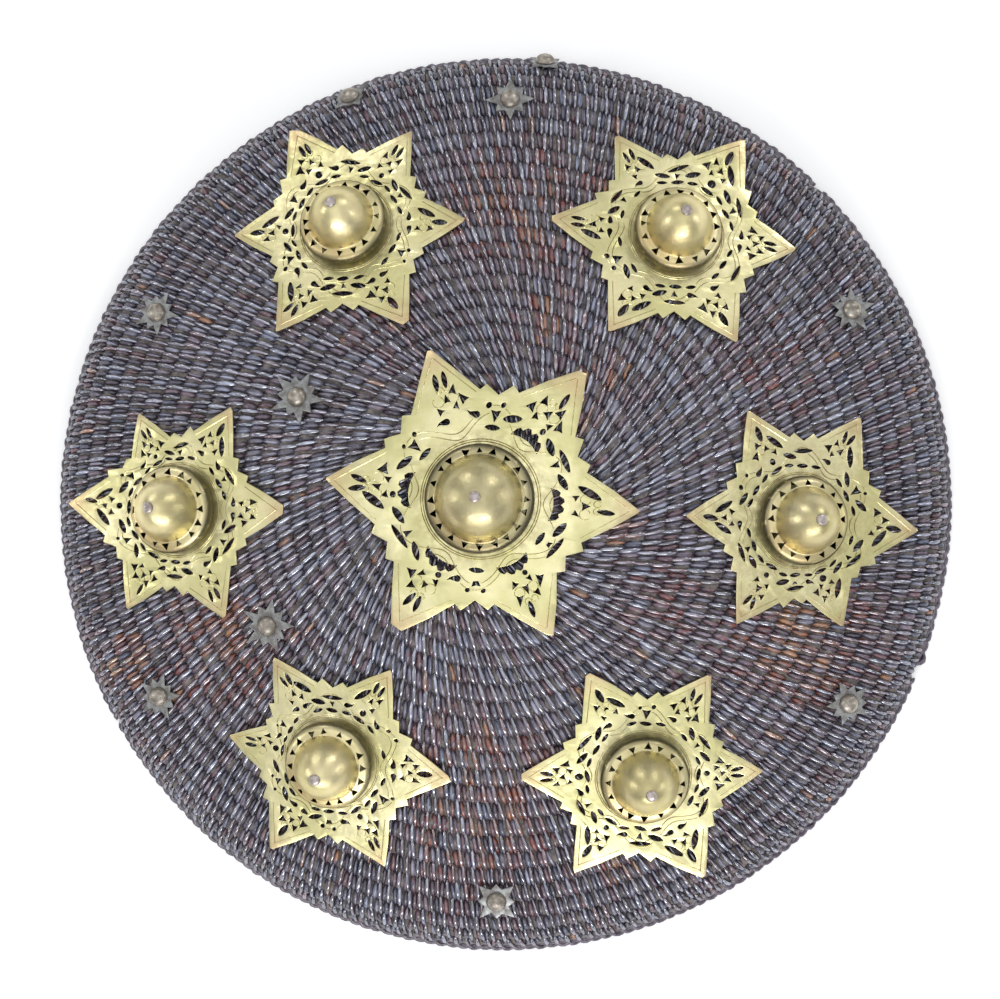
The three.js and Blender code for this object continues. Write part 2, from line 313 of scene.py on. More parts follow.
def hand_over(piece: Piece, finish: "Finish", slot: Slot, *nodes: str) -> None:
    """Dresses a finished piece, hangs it under the body and hides the solids that it stands for.

    Args:
        piece: The finished piece.
        finish: What it is made of.
        slot: The piece's material slot; not used.
        *nodes: The solids that it stands for.
    """
    piece.data.materials.clear()
    piece.data.materials.append(finish.material())
    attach(piece, BODY)
    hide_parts(*nodes)
    LOG.info("%s: %d faces for %s", piece.name, len(piece.data.polygons), ", ".join(nodes))


# Flat drawing


def in_mm(points: Sequence[Spot]) -> tuple[Spot, ...]:
    """Profile points given in millimetres, in metres."""
    return tuple((radius * MM, height * MM) for radius, height in points)


def polar(reach: float, degrees: float) -> np.ndarray:
    """A flat point at a reach and a bearing in degrees."""
    return np.array([reach * math.cos(math.radians(degrees)), reach * math.sin(math.radians(degrees))])


def ring(radius: float, count: int) -> np.ndarray:
    """Flat points evenly round a circle."""
    return np.array([polar(radius, 360 * i / count) for i in range(count)])


def turned_to(bearing: float, points: np.ndarray) -> np.ndarray:
    """Flat points turned round the origin by a bearing."""
    cos, sin = math.cos(bearing), math.sin(bearing)
    return points @ np.array([[cos, sin], [-sin, cos]])


def to_tip(tip: int, points: np.ndarray) -> np.ndarray:
    """Flat points of a star's first point, turned to another one."""
    return turned_to(math.radians(SECTOR * tip), points)


def raised(flat: np.ndarray, height: float) -> np.ndarray:
    """Flat points as an n by 3 array at a height."""
    return np.column_stack([flat, np.full(len(flat), height)])


def area_of(line: np.ndarray) -> float:
    """The area inside a closed flat line."""
    after = np.roll(line, -1, axis=0)
    return abs(np.sum(line[:, 0] * after[:, 1] - line[:, 1] * after[:, 0])) / 2


def within(points: np.ndarray, outline: np.ndarray) -> np.ndarray:
    """Which points lie inside a closed outline.

    Args:
        points: The points, n by 2.
        outline: The outline's corners, n by 2.

    Returns:
        One truth value a point.
    """
    x, y = points[:, :1], points[:, 1:]
    x0, y0 = outline.T
    x1, y1 = np.roll(outline, -1, axis=0).T
    crossed = (y0 > y) != (y1 > y)
    meets = x0 + (y - y0) * (x1 - x0) / np.where(crossed, y1 - y0, 1)
    return (crossed & (x < meets)).sum(axis=1) % 2 == 1


def cut_at(line: np.ndarray, holes: Sequence[np.ndarray]) -> list[np.ndarray]:
    """Cuts a line where it crosses holes.

    Args:
        line: The line's points.
        holes: The outlines that break it.

    Returns:
        Each run of three points or more that lies on whole metal.
    """
    lost = np.any([within(line, hole) for hole in holes], axis=0)
    starts = np.flatnonzero(np.diff(lost)) + 1
    runs = zip(np.split(line, starts), np.split(lost, starts))
    return [run for run, gone in runs if not gone[0] and len(run) > 2]


def dense(line: np.ndarray, step: float = 0.7 * MM) -> np.ndarray:
    """A closed line with points at most a step apart.

    Args:
        line: The line's corners.
        step: The widest step.

    Returns:
        The line's points.
    """
    after = np.roll(line, -1, axis=0)
    counts = np.ceil(np.linalg.norm(after - line, axis=1) / step).astype(int) + 1
    sides = zip(line, after, counts)
    return np.vstack([a + (b - a) * np.linspace(0, 1, n, endpoint=False)[:, None] for a, b, n in sides])


def stand_apart(line: np.ndarray, others: np.ndarray, web: float) -> bool:
    """Whether a hole leaves a web of metal between it and points of what is cut already."""
    return np.linalg.norm(dense(line)[:, None] - others[None], axis=2).min() > web


# Finishes


class Sketch:
    """A node tree, with short calls that add and link its nodes."""

    def __init__(self, made: bpy.types.ID, shader: str) -> None:
        """Starts from a new material or world and the name of its one shader."""
        made.use_nodes = True
        self.made, self.tree = made, made.node_tree
        self.shader = self.tree.nodes[shader]

    def feed(self, node: bpy.types.Node, inputs: dict[int | str, object]) -> None:
        """Links sockets into a node's inputs, or sets their values.

        Args:
            node: The node.
            inputs: What each input gets, by its place or by its name with _ for a space.
        """
        for key, value in inputs.items():
            socket = node.inputs[key.replace("_", " ") if isinstance(key, str) else key]
            if isinstance(value, bpy.types.NodeSocket):
                self.tree.links.new(value, socket)
            elif isinstance(value, tuple) and socket.type == "RGBA":
                socket.default_value = (*value, 1)
            else:
                socket.default_value = value

    def node(self, kind: str, *first: object, **inputs: object) -> bpy.types.Node:
        """Adds a node.

        Args:
            kind: The node's type, without its prefix.
            *first: Values or sockets for its first inputs, in order.
            **inputs: Values or sockets for named inputs, with _ for a space.

        Returns:
            The node.
        """
        made = self.tree.nodes.new("ShaderNode" + kind)
        self.feed(made, dict(enumerate(first)) | inputs)
        return made

    def set(self, **inputs: object) -> None:
        """Feeds the shader's own sockets, with _ for a space."""
        self.feed(self.shader, inputs)

    def spot(self) -> Socket:
        """Object coordinates."""
        return self.node("TexCoord").outputs["Object"]

    def kept(self, name: str, output: str = "Fac") -> Socket:
        """A number that the mesh carries.

        Args:
            name: The attribute's name.
            output: The reader's output; a vector has its own.

        Returns:
            The attribute's socket.
        """
        reader = self.node("Attribute")
        reader.attribute_name = name
        return reader.outputs[output]

    def stretched(self, vector: Socket, scale: Colour) -> Socket:
        """Coordinates stretched by a scale on each axis."""
        return self.node("Mapping", Vector=vector, Scale=scale).outputs["Vector"]

    def noise(self, vector: Socket, scale: float, detail: float = 3, rough: float = 0.55) -> Socket:
        """Cloudy noise with its scale to the metre, its octaves and their strength."""
        made = self.node("TexNoise", Vector=vector, Scale=scale, Detail=detail, Roughness=rough)
        return made.outputs["Fac"]

    def spread(
        self, value: Socket, low: float, high: float, to_low: float = 0, to_high: float = 1
    ) -> Socket:
        """Maps a range of a value smoothly to another, clamped.

        Args:
            value: The value.
            low: Its value at the new range's start.
            high: Its value at the new range's end.
            to_low: The new range's start.
            to_high: The new range's end.

        Returns:
            The mapped value.
        """
        made = self.node("MapRange", value, low, high, to_low, to_high)
        made.interpolation_type = "SMOOTHSTEP"
        return made.outputs[0]

    def times(self, one: Socket, other: Socket) -> Socket:
        """The product of two values."""
        made = self.node("Math", one, other)
        made.operation = "MULTIPLY"
        return made.outputs[0]

    def mixed(self, share: object, first: object, second: object) -> Socket:
        """Mixes two colours.

        Args:
            share: How much of the second shows.
            first: A colour or a socket.
            second: A colour or a socket.

        Returns:
            The mixed colour.
        """
        made = self.node("Mix")
        made.data_type = "RGBA"
        self.feed(made, {0: share, 6: first, 7: second})
        return made.outputs[2]

    def ramp(self, value: Socket, stops: Sequence[tuple[float, Colour]]) -> Socket:
        """Colours along a value.

        Args:
            value: The value.
            stops: Each colour and where it stands.

        Returns:
            The colour.
        """
        made = self.node("ValToRGB", Fac=value)
        bands = made.color_ramp.elements
        while len(bands) < len(stops):
            bands.new(0.5)
        for band, (place, colour) in zip(bands, stops):
            set_all(band, position=place, color=(*colour, 1))
        return made.outputs["Color"]

    def bump(self, height: Socket, relief: Spot, **below: Socket) -> Socket:
        """Bumps the surface by a height.

        Args:
            height: The height's grey value.
            relief: How much of it shows, and the height of white in metres.
            **below: A coarser bump under it, as Normal.

        Returns:
            The bumped normal.
        """
        strength, depth = relief
        made = self.node("Bump", Height=height, Strength=strength, Distance=depth, **below)
        return made.outputs["Normal"]


class Finish:
    """A finish that makes its material once."""

    name: str

    def material(self) -> bpy.types.Material:
        """The finish's material, made on its first use."""
        if self.name not in bpy.data.materials:
            self.paint(Sketch(bpy.data.materials.new(self.name), "Principled BSDF"))
        return bpy.data.materials[self.name]

    def paint(self, sketch: Sketch) -> None:
        """Lays the finish out in nodes."""
        raise NotImplementedError


@dataclass(frozen=True)
class CaneFinish(Finish):
    """Split cane with a dark smoked skin that wears to red and tan, and a painted bluish sheen along its
    fibres.
    """

    name: str = "smoked_cane"
    dark: Colour = (0.052, 0.042, 0.060)
    usual: Colour = (0.152, 0.120, 0.154)
    dusty: Colour = (0.260, 0.228, 0.210)
    # Painted highlight: a bluish sheen colour laid along the lighter fibres.
    painted_sheen: Colour = (0.420, 0.445, 0.590)
    blue: Colour = (0.105, 0.128, 0.200)
    plum: Colour = (0.190, 0.088, 0.105)
    red: Colour = (0.205, 0.056, 0.044)
    tan: Colour = (0.480, 0.250, 0.115)
    glint: Colour = (0.88, 0.93, 1.0)
    tint: float = 0.7
    # How much of the painted sheen the darkest and the lightest strips take.
    painted_sheen_share: Spot = (0.06, 0.80)
    gloss: Spot = (0.10, 0.22)
    shine: float = 1.0
    ior: float = 2.1
    relief: Spot = (0.4, 0.30 * MM)

    def paint(self, sketch: Sketch) -> None:
        """Tone, tint and wear come from each strip, and fibres run along it; the lighter fibres carry a
        painted bluish sheen.
        """
        grain = sketch.kept("grain", "Vector")
        fibres = sketch.noise(sketch.stretched(grain, (0.55, 0.06, 1)), 1, 1.5, 0.5)
        ridges = sketch.noise(sketch.stretched(grain, (0.6, 0.035, 1)), 1, 0, 0.5)
        blotch = sketch.noise(sketch.stretched(grain, (0.35, 0.16, 1)), 1, 2)
        chance = sketch.noise(sketch.stretched(grain, (0, 0, 0.9)), 1, 0)
        # Each strip's tone also carries painted shade near the rim and under the stars.
        shade, wear = sketch.kept("tone"), sketch.kept("wear")
        tone = sketch.ramp(shade, [(0.05, self.dark), (0.5, self.usual), (0.97, self.dusty)])
        tone = sketch.mixed(sketch.spread(chance, 0.50, 0.64, 0, self.tint), tone, self.blue)
        tone = sketch.mixed(sketch.spread(chance, 0.48, 0.34, 0, self.tint), tone, self.plum)
        # Painted highlight: dark fibres and a bluish sheen along the cane; lighter strips take more of the
        # sheen.
        fibres_and_painted_sheen = sketch.mixed(
            sketch.spread(fibres, 0.42, 0.62),
            sketch.mixed(0.6, tone, self.dark),
            sketch.mixed(sketch.spread(shade, 0.0, 0.9, *self.painted_sheen_share), tone, self.painted_sheen),
        )
        worn = sketch.ramp(wear, [(0.0, self.usual), (0.45, self.red), (1.0, self.tan)])
        bare = sketch.times(sketch.spread(wear, 0.03, 0.4), sketch.spread(blotch, 0.34, 0.60))
        sketch.set(
            Base_Color=sketch.mixed(bare, fibres_and_painted_sheen, worn),
            Roughness=sketch.spread(ridges, 0.2, 0.8, *self.gloss),
            Specular_IOR_Level=self.shine,
            IOR=self.ior,
            Specular_Tint=self.glint,
            Normal=sketch.bump(ridges, self.relief),
        )


@dataclass(frozen=True)
class BrassFinish(Finish):
    """Old sheet brass, rubbed pale on the flats and warm at the tips; on the domes the warm part is a
    painted reflection.
    """

    name: str = "star_brass"
    pale: Colour = (0.920, 0.850, 0.505)
    green: Colour = (0.740, 0.695, 0.350)
    warm: Colour = (0.720, 0.560, 0.320)
    # Dark colour for patina, grime and painted shade in hollows.
    stain_and_shade: Colour = (0.300, 0.220, 0.110)
    warm_from: float = 0.74
    rubbed: Spot = (0.30, 0.50)
    shade_and_grime_mottle: Spot = (0.30, 0.66)
    hammered: Spot = (0.5, 0.6 * MM)
    chased: Spot = (0.5, 0.14 * MM)
    scratched: Spot = (0.10, 0.06 * MM)

    def paint(self, sketch: Sketch) -> None:
        """Clouds of tarnish, fine scratches, and warm tips where the mesh says so; on the domes the same
        warmth is a painted reflection on their lower-left side, and the dark stain is partly painted shade.
        """
        spot = sketch.spot()
        clouds = sketch.noise(spot, 28, 3, 0.6)
        mottle = sketch.noise(spot, 210, 4, 0.65)
        scratches = sketch.noise(sketch.stretched(spot, (1800, 260, 400)), 1, 2)
        normal = sketch.bump(sketch.noise(spot, 90, 2), self.hammered)
        normal = sketch.bump(sketch.noise(spot, 480, 1), self.chased, Normal=normal)
        body = sketch.mixed(sketch.spread(clouds, 0.38, 0.62), self.green, self.pale)
        # On the plates the reach warms the tips; on the domes it paints a warm reflection on their
        # lower-left side.
        tips = sketch.spread(sketch.kept("reach"), self.warm_from, 1.0)
        warm_tips_and_painted_side = sketch.times(tips, sketch.spread(mottle, 0.28, 0.56, 0.25, 0.95))
        warmed = sketch.mixed(warm_tips_and_painted_side, body, self.warm)
        # The mesh's dark mask lays the stain: partly painted shade in hollows and round the domes' feet,
        # partly patina, tarnish and darkened chased lines.
        stained_and_shaded = sketch.times(sketch.kept("grime_and_shade"), sketch.spread(mottle, *self.shade_and_grime_mottle))
        sketch.set(
            Base_Color=sketch.mixed(stained_and_shaded, warmed, self.stain_and_shade),
            Metallic=1.0,
            Roughness=sketch.spread(mottle, 0.3, 0.72, *self.rubbed),
            Normal=sketch.bump(scratches, self.scratched, Normal=normal),
        )


@dataclass(frozen=True)
class CloudyFinish(Finish):
    """Two tones in cloudy patches over a fine grain. As it stands, a small fastening's metal."""

    name: str
    under: Colour
    over: Colour
    rough: Spot
    metallic: float = 0.9
    specular: float = 0.5
    clouds: Colour = (260, 4, 0.65)
    patches: Spot = (0.34, 0.66)
    grain: Spot = (900, 3)
    relief: Spot = (0.3, 0.2 * MM)
    fibrous: bool = False

    def paint(self, sketch: Sketch) -> None:
        """The patches set the colour, and they or the fibres set the roughness."""
        spot = sketch.spot()
        clouds, grain = sketch.noise(spot, *self.clouds), sketch.noise(spot, *self.grain)
        low, high = self.rough
        sketch.set(
            Base_Color=sketch.mixed(sketch.spread(clouds, *self.patches), self.under, self.over),
            Metallic=self.metallic,
            Roughness=low,
            Specular_IOR_Level=self.specular,
            Normal=sketch.bump(grain, self.relief),
        )
        if high > low:
            sketch.set(Roughness=sketch.spread(grain if self.fibrous else clouds, 0.3, 0.7, low, high))


@dataclass(frozen=True)
class FloorFinish(Finish):
    """A plain white studio floor."""

    name: str = "studio_floor"
    white: Colour = (0.94, 0.94, 0.94)
    shade: Colour = (0.90, 0.90, 0.90)

    def paint(self, sketch: Sketch) -> None:
        """A faint cloud keeps the white from being dead flat."""
        white = sketch.mixed(sketch.noise(sketch.spot(), 3, 2), self.shade, self.white)
        sketch.set(Base_Color=white, Roughness=0.9, Emission_Color=white, Emission_Strength=0.25)


CANE = CaneFinish()
DUSTY_CANE = CaneFinish(name="dusty_cane", gloss=(0.22, 0.42), shine=0.8, ior=1.6)
COIL = CloudyFinish(
    "dusty_coil", (0.085, 0.074, 0.074), (0.240, 0.212, 0.192), (0.75, 0.75), 0.0, 0.25, (240, 4, 0.65),
    (0.3, 0.72), (1500, 2), (0.4, 0.3 * MM),
)
PLAIT = CloudyFinish(
    "rim_plait", (0.045, 0.033, 0.050), (0.150, 0.118, 0.165), (0.24, 0.42), 0.0, 0.9, (320, 4, 0.6),
    (0.35, 0.72), (1400, 3), (0.4, 0.25 * MM), fibrous=True,
)
PLATE_BRASS = BrassFinish()
# On the domes the warm colour paints a reflection on the lower-left side, and the stain paints shade low on
# the wall.
DOME_BRASS = BrassFinish(
    name="dome_brass", pale=(0.84, 0.74, 0.43), green=(0.66, 0.58, 0.30), warm=(0.70, 0.55, 0.28),
    stain_and_shade=(0.10, 0.09, 0.062), warm_from=0.60, rubbed=(0.33, 0.48), shade_and_grime_mottle=(0.12, 0.48),
)
RIVET_METAL = CloudyFinish("worn_rivet", (0.56, 0.50, 0.47), (0.34, 0.28, 0.26), (0.34, 0.55))
GREY_TIN = CloudyFinish("dull_tin", (0.36, 0.37, 0.37), (0.20, 0.19, 0.18), (0.45, 0.62), 0.8)
NAIL_BRONZE = CloudyFinish("grey_bronze", (0.47, 0.43, 0.375), (0.23, 0.20, 0.17), (0.36, 0.52))


# The shield


@dataclass
class ShieldFace:
    """The outer face: a cone with a rounded top, turned down at the shoulder to a steep edge."""

    shoulder_radius: float = 228 * MM
    cone_slope: float = math.tan(math.radians(19))
    top_rounding: float = 90 * MM
    edge_radius: float = 247.5 * MM
    edge_height: float = 9.2 * MM
    edge_tilt: float = math.radians(80)
    wall: float = 9 * MM

    def __post_init__(self) -> None:
        """Works out the shoulder's arc from the cone and the edge."""
        self.shoulder_tilt = float(self.cone_tilt(self.shoulder_radius))
        turn = math.sin(self.edge_tilt) - math.sin(self.shoulder_tilt)
        self.shoulder_bend = (self.edge_radius - self.shoulder_radius) / turn
        fall = math.cos(self.shoulder_tilt) - math.cos(self.edge_tilt)
        self.shoulder_height = self.edge_height + self.shoulder_bend * fall

    def cone_tilt(self, radius: np.ndarray) -> np.ndarray:
        """The cone's tilt at a distance from the axis."""
        return np.arctan(self.cone_slope * radius / np.hypot(radius, self.top_rounding))

    def cone_drop(self, radius: np.ndarray) -> np.ndarray:
        """How far the cone has dropped from its top."""
        return self.cone_slope * (np.hypot(radius, self.top_rounding) - self.top_rounding)

    def cone_height(self, radius: np.ndarray) -> np.ndarray:
        """The cone's height, also past the shoulder."""
        top = self.shoulder_height + self.cone_drop(self.shoulder_radius)
        return top - self.cone_drop(radius)

    def tilt(self, radius: np.ndarray) -> np.ndarray:
        """The face's tilt at a distance from the axis."""
        past = (np.asarray(radius) - self.shoulder_radius) / self.shoulder_bend
        arc = np.arcsin(np.clip(math.sin(self.shoulder_tilt) + past, -1, 1))
        return np.where(past > 0, arc, self.cone_tilt(radius))

    def height(self, radius: np.ndarray) -> np.ndarray:
        """The face's height at a distance from the axis."""
        fall = self.shoulder_bend * (math.cos(self.shoulder_tilt) - np.cos(self.tilt(radius)))
        past = np.asarray(radius) > self.shoulder_radius
        return np.where(past, self.shoulder_height - fall, self.cone_height(radius))

    def meridian(self) -> tuple[np.ndarray, np.ndarray]:
        """The length along the face from its top, and the radius there, as two arrays."""
        turns = np.linspace(self.shoulder_tilt, self.edge_tilt, 80)[1:]
        bent = self.shoulder_bend * (np.sin(turns) - math.sin(self.shoulder_tilt))
        radii = np.concatenate([np.linspace(0, self.shoulder_radius, 400), self.shoulder_radius + bent])
        steps = np.hypot(np.diff(radii), np.diff(self.height(radii)))
        return np.concatenate([[0], np.cumsum(steps)]), radii

    def spot(self, radius: np.ndarray, bearing: np.ndarray, lift: np.ndarray) -> np.ndarray:
        """Points over the face.

        Args:
            radius: Distances from the axis, on the face.
            bearing: Bearings round the axis.
            lift: Heights over the face, along its normal.

        Returns:
            The points, with x, y and z last.
        """
        tilt = self.tilt(radius)
        out = radius + lift * np.sin(tilt)
        up = self.height(radius) + lift * np.cos(tilt)
        return np.stack([out * np.cos(bearing), out * np.sin(bearing), up], axis=-1)

    def seat(self, x: float, y: float) -> Matrix:
        """A frame on the face, with its +Z along the normal.

        Args:
            x: Its place, across.
            y: Its place, upwards.

        Returns:
            The frame's matrix.
        """
        radius, bearing = math.hypot(x, y), math.atan2(y, x)
        tilt = float(self.tilt(radius))
        level = math.sin(tilt)
        normal = Vector((level * math.cos(bearing), level * math.sin(bearing), math.cos(tilt)))
        turn = Vector((0, 0, 1)).rotation_difference(normal).to_matrix().to_4x4()
        return Matrix.Translation((x, y, float(self.height(radius)))) @ turn


FACE = ShieldFace()


@dataclass(frozen=True)
class StripShape:
    """One way in which split cane is laid over the coils; its heights are in millimetres."""

    rise: tuple[float, ...]
    crown: tuple[float, ...]
    start: float
    end: float
    cover: float
    offset: float
    tone: Spot
    side: Side = Side.FACE


STITCH = StripShape(
    rise=(-1.9, -0.8, -0.05, 0.26, 0.28, 0.0, -0.75, -2.1), crown=(-0.95, -0.24, 0.0, -0.24, -0.95),
    start=-0.26, end=1.06, cover=0.42, offset=0.0, tone=(0.54, 0.26),
)
WRAP = StripShape(
    rise=(-2.4, -1.15, -0.9, -1.15, -2.5), crown=(-0.5, 0.0, -0.5),
    start=-0.05, end=1.03, cover=0.62, offset=0.5, tone=(0.46, 0.24),
)
BACK_STITCH = StripShape(
    rise=(-1.9, -0.5, 0.2, -0.4, -2.2), crown=(-0.8, 0.0, -0.8),
    start=-0.35, end=1.0, cover=0.62, offset=0.0, tone=(0.5, 0.2), side=Side.BACK,
)


@dataclass
class RattanBody:
    """The woven wall: coils laid round and round, sewn over with split cane.

    Each zone has its outer radius and the strips in a row, and each worn patch its place, size and depth.
    """

    # The star plates' outlines seen from above; the strips under them get painted shade.
    covers: Sequence[np.ndarray]
    rows: int = 28
    first_row: int = 3
    segments: int = 192
    crest: float = 1.3 * MM
    furrow: float = 3.2 * MM
    grain: Colour = (6, 12, 0)
    grain_apart: float = 1.7
    end_width: float = 0.42
    widths: Spot = (0.82, 1.15)
    lean: float = 36 * MM
    most_lean: float = 0.5
    place_slack: float = 0.07
    lean_slack: float = 0.05
    roll_slack: float = 0.10
    lift_slack: float = 0.12 * MM
    row_slack: float = 0.06
    zones: tuple[tuple[float, int], ...] = (
        (0.066, 49), (0.084, 66), (0.100, 96), (0.117, 106), (0.134, 121), (0.151, 124), (0.168, 150),
        (0.184, 178), (0.201, 190), (1.0, 246),
    )
    split: float = 0.180
    patches: tuple[tuple[float, float, float, float], ...] = (
        (0.009, 0.159, 0.030, 0.75), (-0.149, -0.081, 0.028, 0.75), (0.164, -0.074, 0.030, 0.95),
        (-0.013, -0.166, 0.040, 0.70), (0.030, 0.092, 0.016, 0.70), (0.056, 0.058, 0.014, 0.75),
        (0.055, 0.160, 0.016, 0.60), (0.150, 0.062, 0.026, 0.45), (0.090, -0.060, 0.030, 0.40),
        (-0.060, 0.090, 0.030, 0.35), (-0.207, -0.090, 0.011, 1.3), (0.064, -0.203, 0.006, 1.3),
        (0.073, -0.021, 0.006, 1.3),
    )
    worn_share: float = 0.34
    worn: Spot = (0.04, 0.32)
    bare_share: float = 0.008
    bare: float = 0.8
    # Painted shade: the last rows towards the rim are darkened, by up to this much.
    edge_rows: int = 6
    painted_edge_shade: float = 0.42
    # Painted shade under the star plates: face strips there are darkened by this much.
    painted_shade_under_stars: float = 0.6
    seed: int = 41

    def __post_init__(self) -> None:
        """Measures the face and sets the coils' pitch."""
        self.along, self.radii = FACE.meridian()
        self.pitch = self.along[-1] / self.rows

    def radius_at(self, along: np.ndarray) -> np.ndarray:
        """The distance from the axis at a length along the face."""
        return np.interp(along, self.along, self.radii)

    def profile_point(self, along: float, lift: float) -> Spot:
        """Radius and height of a point over the face."""
        point = FACE.spot(self.radius_at(along), np.float64(0), np.float64(lift))
        return max(0.0, float(point[0])), float(point[2])

    def side_profile(self, shares: Sequence[float], base: float, depth: float) -> list[Spot]:
        """One side of the wall from the axis outwards.

        Args:
            shares: Where each coil has its points.
            base: The height of the furrows over the face.
            depth: How far the coils stand out of them.

        Returns:
            The profile's points, up to the edge.
        """
        turns = [(row + share, math.sin(math.pi * share)) for row in range(self.rows) for share in shares]
        points = [self.profile_point(turn * self.pitch, base + depth * bulge) for turn, bulge in turns]
        return [*points, self.profile_point(self.along[-1], base + depth)]

    def coils(self) -> Piece:
        """The coils as one spun wall, ridged on both sides."""
        depth = self.furrow - self.crest
        face = self.side_profile((0.0, 0.16, 0.34, 0.5, 0.66, 0.84), -self.furrow, depth)
        back = self.side_profile((0.0, 0.2, 0.5, 0.8), -FACE.wall + self.furrow, -depth)
        piece = spun("rattan_coils", face + back[::-1], self.segments)
        smooth(piece, 70)
        return piece

    @staticmethod
    def strip(shape: StripShape) -> tuple[np.ndarray, list[list[int]]]:
        """Models one strip of cane, arched along its length and across.

        Args:
            shape: How the cane is laid.

        Returns:
            Its vertices, with x and y from -0.5 to 0.5, and its faces.
        """
        cells = {"x_subdivisions": len(shape.crown) - 1, "y_subdivisions": len(shape.rise) - 1}
        piece = added(bpy.ops.mesh.primitive_grid_add, **cells, size=1)
        for axis, heights in ((1, shape.rise), (0, shape.crown)):
            for line, height in zip(np.linspace(-0.5, 0.5, len(heights)), heights):
                chosen = np.abs(places_of(piece)[:, axis] - line) < 0.01
                with editing(piece):
                    bpy.ops.mesh.select_all(action="DESELECT")
                    bpy.ops.object.mode_set(mode="OBJECT")
                    piece.data.vertices.foreach_set("select", chosen)
                    bpy.ops.object.mode_set(mode="EDIT")
                    bpy.ops.transform.translate(value=(0, 0, height * MM))
        with editing(piece):
            bpy.ops.mesh.select_mode(type="EDGE")
            bpy.ops.mesh.select_all(action="DESELECT")
            bpy.ops.mesh.select_non_manifold()
            bpy.ops.mesh.edge_face_add()
            bpy.ops.mesh.select_mode(type="VERT")
            bpy.ops.mesh.select_all(action="SELECT")
            bpy.ops.mesh.normals_make_consistent(inside=False)
        places = places_of(piece)
        faces = [list(face.vertices) for face in piece.data.polygons]
        bpy.data.objects.remove(piece)
        return places, faces

    def stitches(self, row: int) -> int:
        """How many strips go round a row."""
        middle = self.radius_at((row + 0.5) * self.pitch)
        return next(count for limit, count in self.zones if middle < limit)

    def wear_at(self, x: np.ndarray, y: np.ndarray, dice: np.random.Generator) -> np.ndarray:
        """How far each strip's skin is worn.

        Args:
            x: Where each strip lies, across.
            y: Where each strip lies, upwards.
            dice: The seeded source of chance.

        Returns:
            From 0, whole, to 1, bare.
        """
        wear = np.where(dice.random(len(x)) < self.worn_share, dice.uniform(*self.worn, len(x)), 0)
        wear = np.where(dice.random(len(x)) < self.bare_share, self.bare, wear)
        chance = np.clip(1.5 * dice.random(len(x)) - 0.15, 0, 1.1)
        for patch_x, patch_y, size, depth in self.patches:
            near = np.exp(-0.5 * ((x - patch_x) ** 2 + (y - patch_y) ** 2) / size**2)
            wear = np.maximum(wear, depth * near * chance)
        return np.clip(wear, 0, 1)

    def laid_row(
        self, row: int, shape: StripShape, unit: np.ndarray, dice: np.random.Generator
    ) -> tuple[np.ndarray, np.ndarray, np.ndarray]:
        """Lays copies of one strip round a row.

        Args:
            row: The row, from the axis outwards.
            shape: How the cane is laid.
            unit: The strip's own vertices.
            dice: The seeded source of chance.

        Returns:
            Each copy's vertices, its tone with painted shade near the rim and under the stars, and its
            wear.
        """
        count, middle = self.stitches(row), (row + 0.5) * self.pitch
        turn = math.tau / count
        place = np.arange(count) + shape.offset + 0.5 * (row % 2)
        bearing = (place + dice.normal(0, self.place_slack, count)) * turn
        span = turn * self.radius_at(middle)
        width = shape.cover * span * dice.uniform(*self.widths, count)
        share = shape.start + (unit[:, 1] + 0.5) * (shape.end - shape.start)
        slim = self.end_width + (1 - self.end_width) * np.cos(math.pi * unit[:, 1] * 0.9)
        along = np.minimum((row + share) * self.pitch, self.along[-1])[None, :]
        radius = self.radius_at(along)
        lean = min(self.most_lean, self.lean / radius.mean()) + dice.normal(0, self.lean_slack, (count, 1))
        shift = lean * (along - middle) + slim * unit[:, 0] * width[:, None]
        roll = dice.normal(0, self.roll_slack, (count, 1)) * unit[:, 0] * span
        lift = unit[:, 2] + dice.normal(0, self.lift_slack, (count, 1)) + roll
        lift = lift if shape.side is Side.FACE else -FACE.wall - lift
        places = FACE.spot(radius, bearing[:, None] + shift / radius, lift)
        # Painted shade: the rows nearest the rim get a darker tone.
        near_edge = max(0, row + 1 + self.edge_rows - self.rows) / self.edge_rows
        tone = dice.normal(*shape.tone, count) + dice.normal(0, self.row_slack)
        tone -= self.painted_edge_shade * near_edge
        at = places.mean(axis=1)
        # Painted shade: face strips whose middle lies under a star plate get a darker tone.
        if shape.side is Side.FACE:
            tone -= self.painted_shade_under_stars * np.any([within(at[:, :2], cover) for cover in self.covers], axis=0)
        return places, np.clip(tone, 0, 1), self.wear_at(at[:, 0], at[:, 1], dice)

    def sewn(self, name: str, rows: Sequence[int], shape: StripShape) -> Piece:
        """Sews one modelled strip round each of some rows.

        Args:
            name: The piece's name.
            rows: The rows that it covers.
            shape: How the cane is laid.

        Returns:
            The strips as one mesh.
        """
        unit, faces = self.strip(shape)
        dice = np.random.default_rng(self.seed + len(name) + 100 * len(rows))
        laid = zip(*(self.laid_row(row, shape, unit, dice) for row in rows))
        places, tones, wears = (np.concatenate(part) for part in laid)
        copies, corners = len(places), len(unit)
        faces = [face[:: shape.side.value] for face in faces]
        every = [[i * corners + v for v in face] for i in range(copies) for face in faces]
        mesh = bpy.data.meshes.new(name)
        mesh.from_pydata(places.reshape(-1, 3), [], every)
        mesh.polygons.foreach_set("use_smooth", np.ones(len(every), bool))
        piece = put_in(name, mesh)
        note(piece, "tone", np.repeat(tones, corners))
        note(piece, "wear", np.repeat(wears, corners))
        grain = np.tile(unit * self.grain, (copies, 1))
        grain[:, 2] = np.repeat(np.arange(copies) * self.grain_apart, corners)
        note(piece, "grain", grain)
        self.lay_out(piece, faces, unit, copies)
        return piece

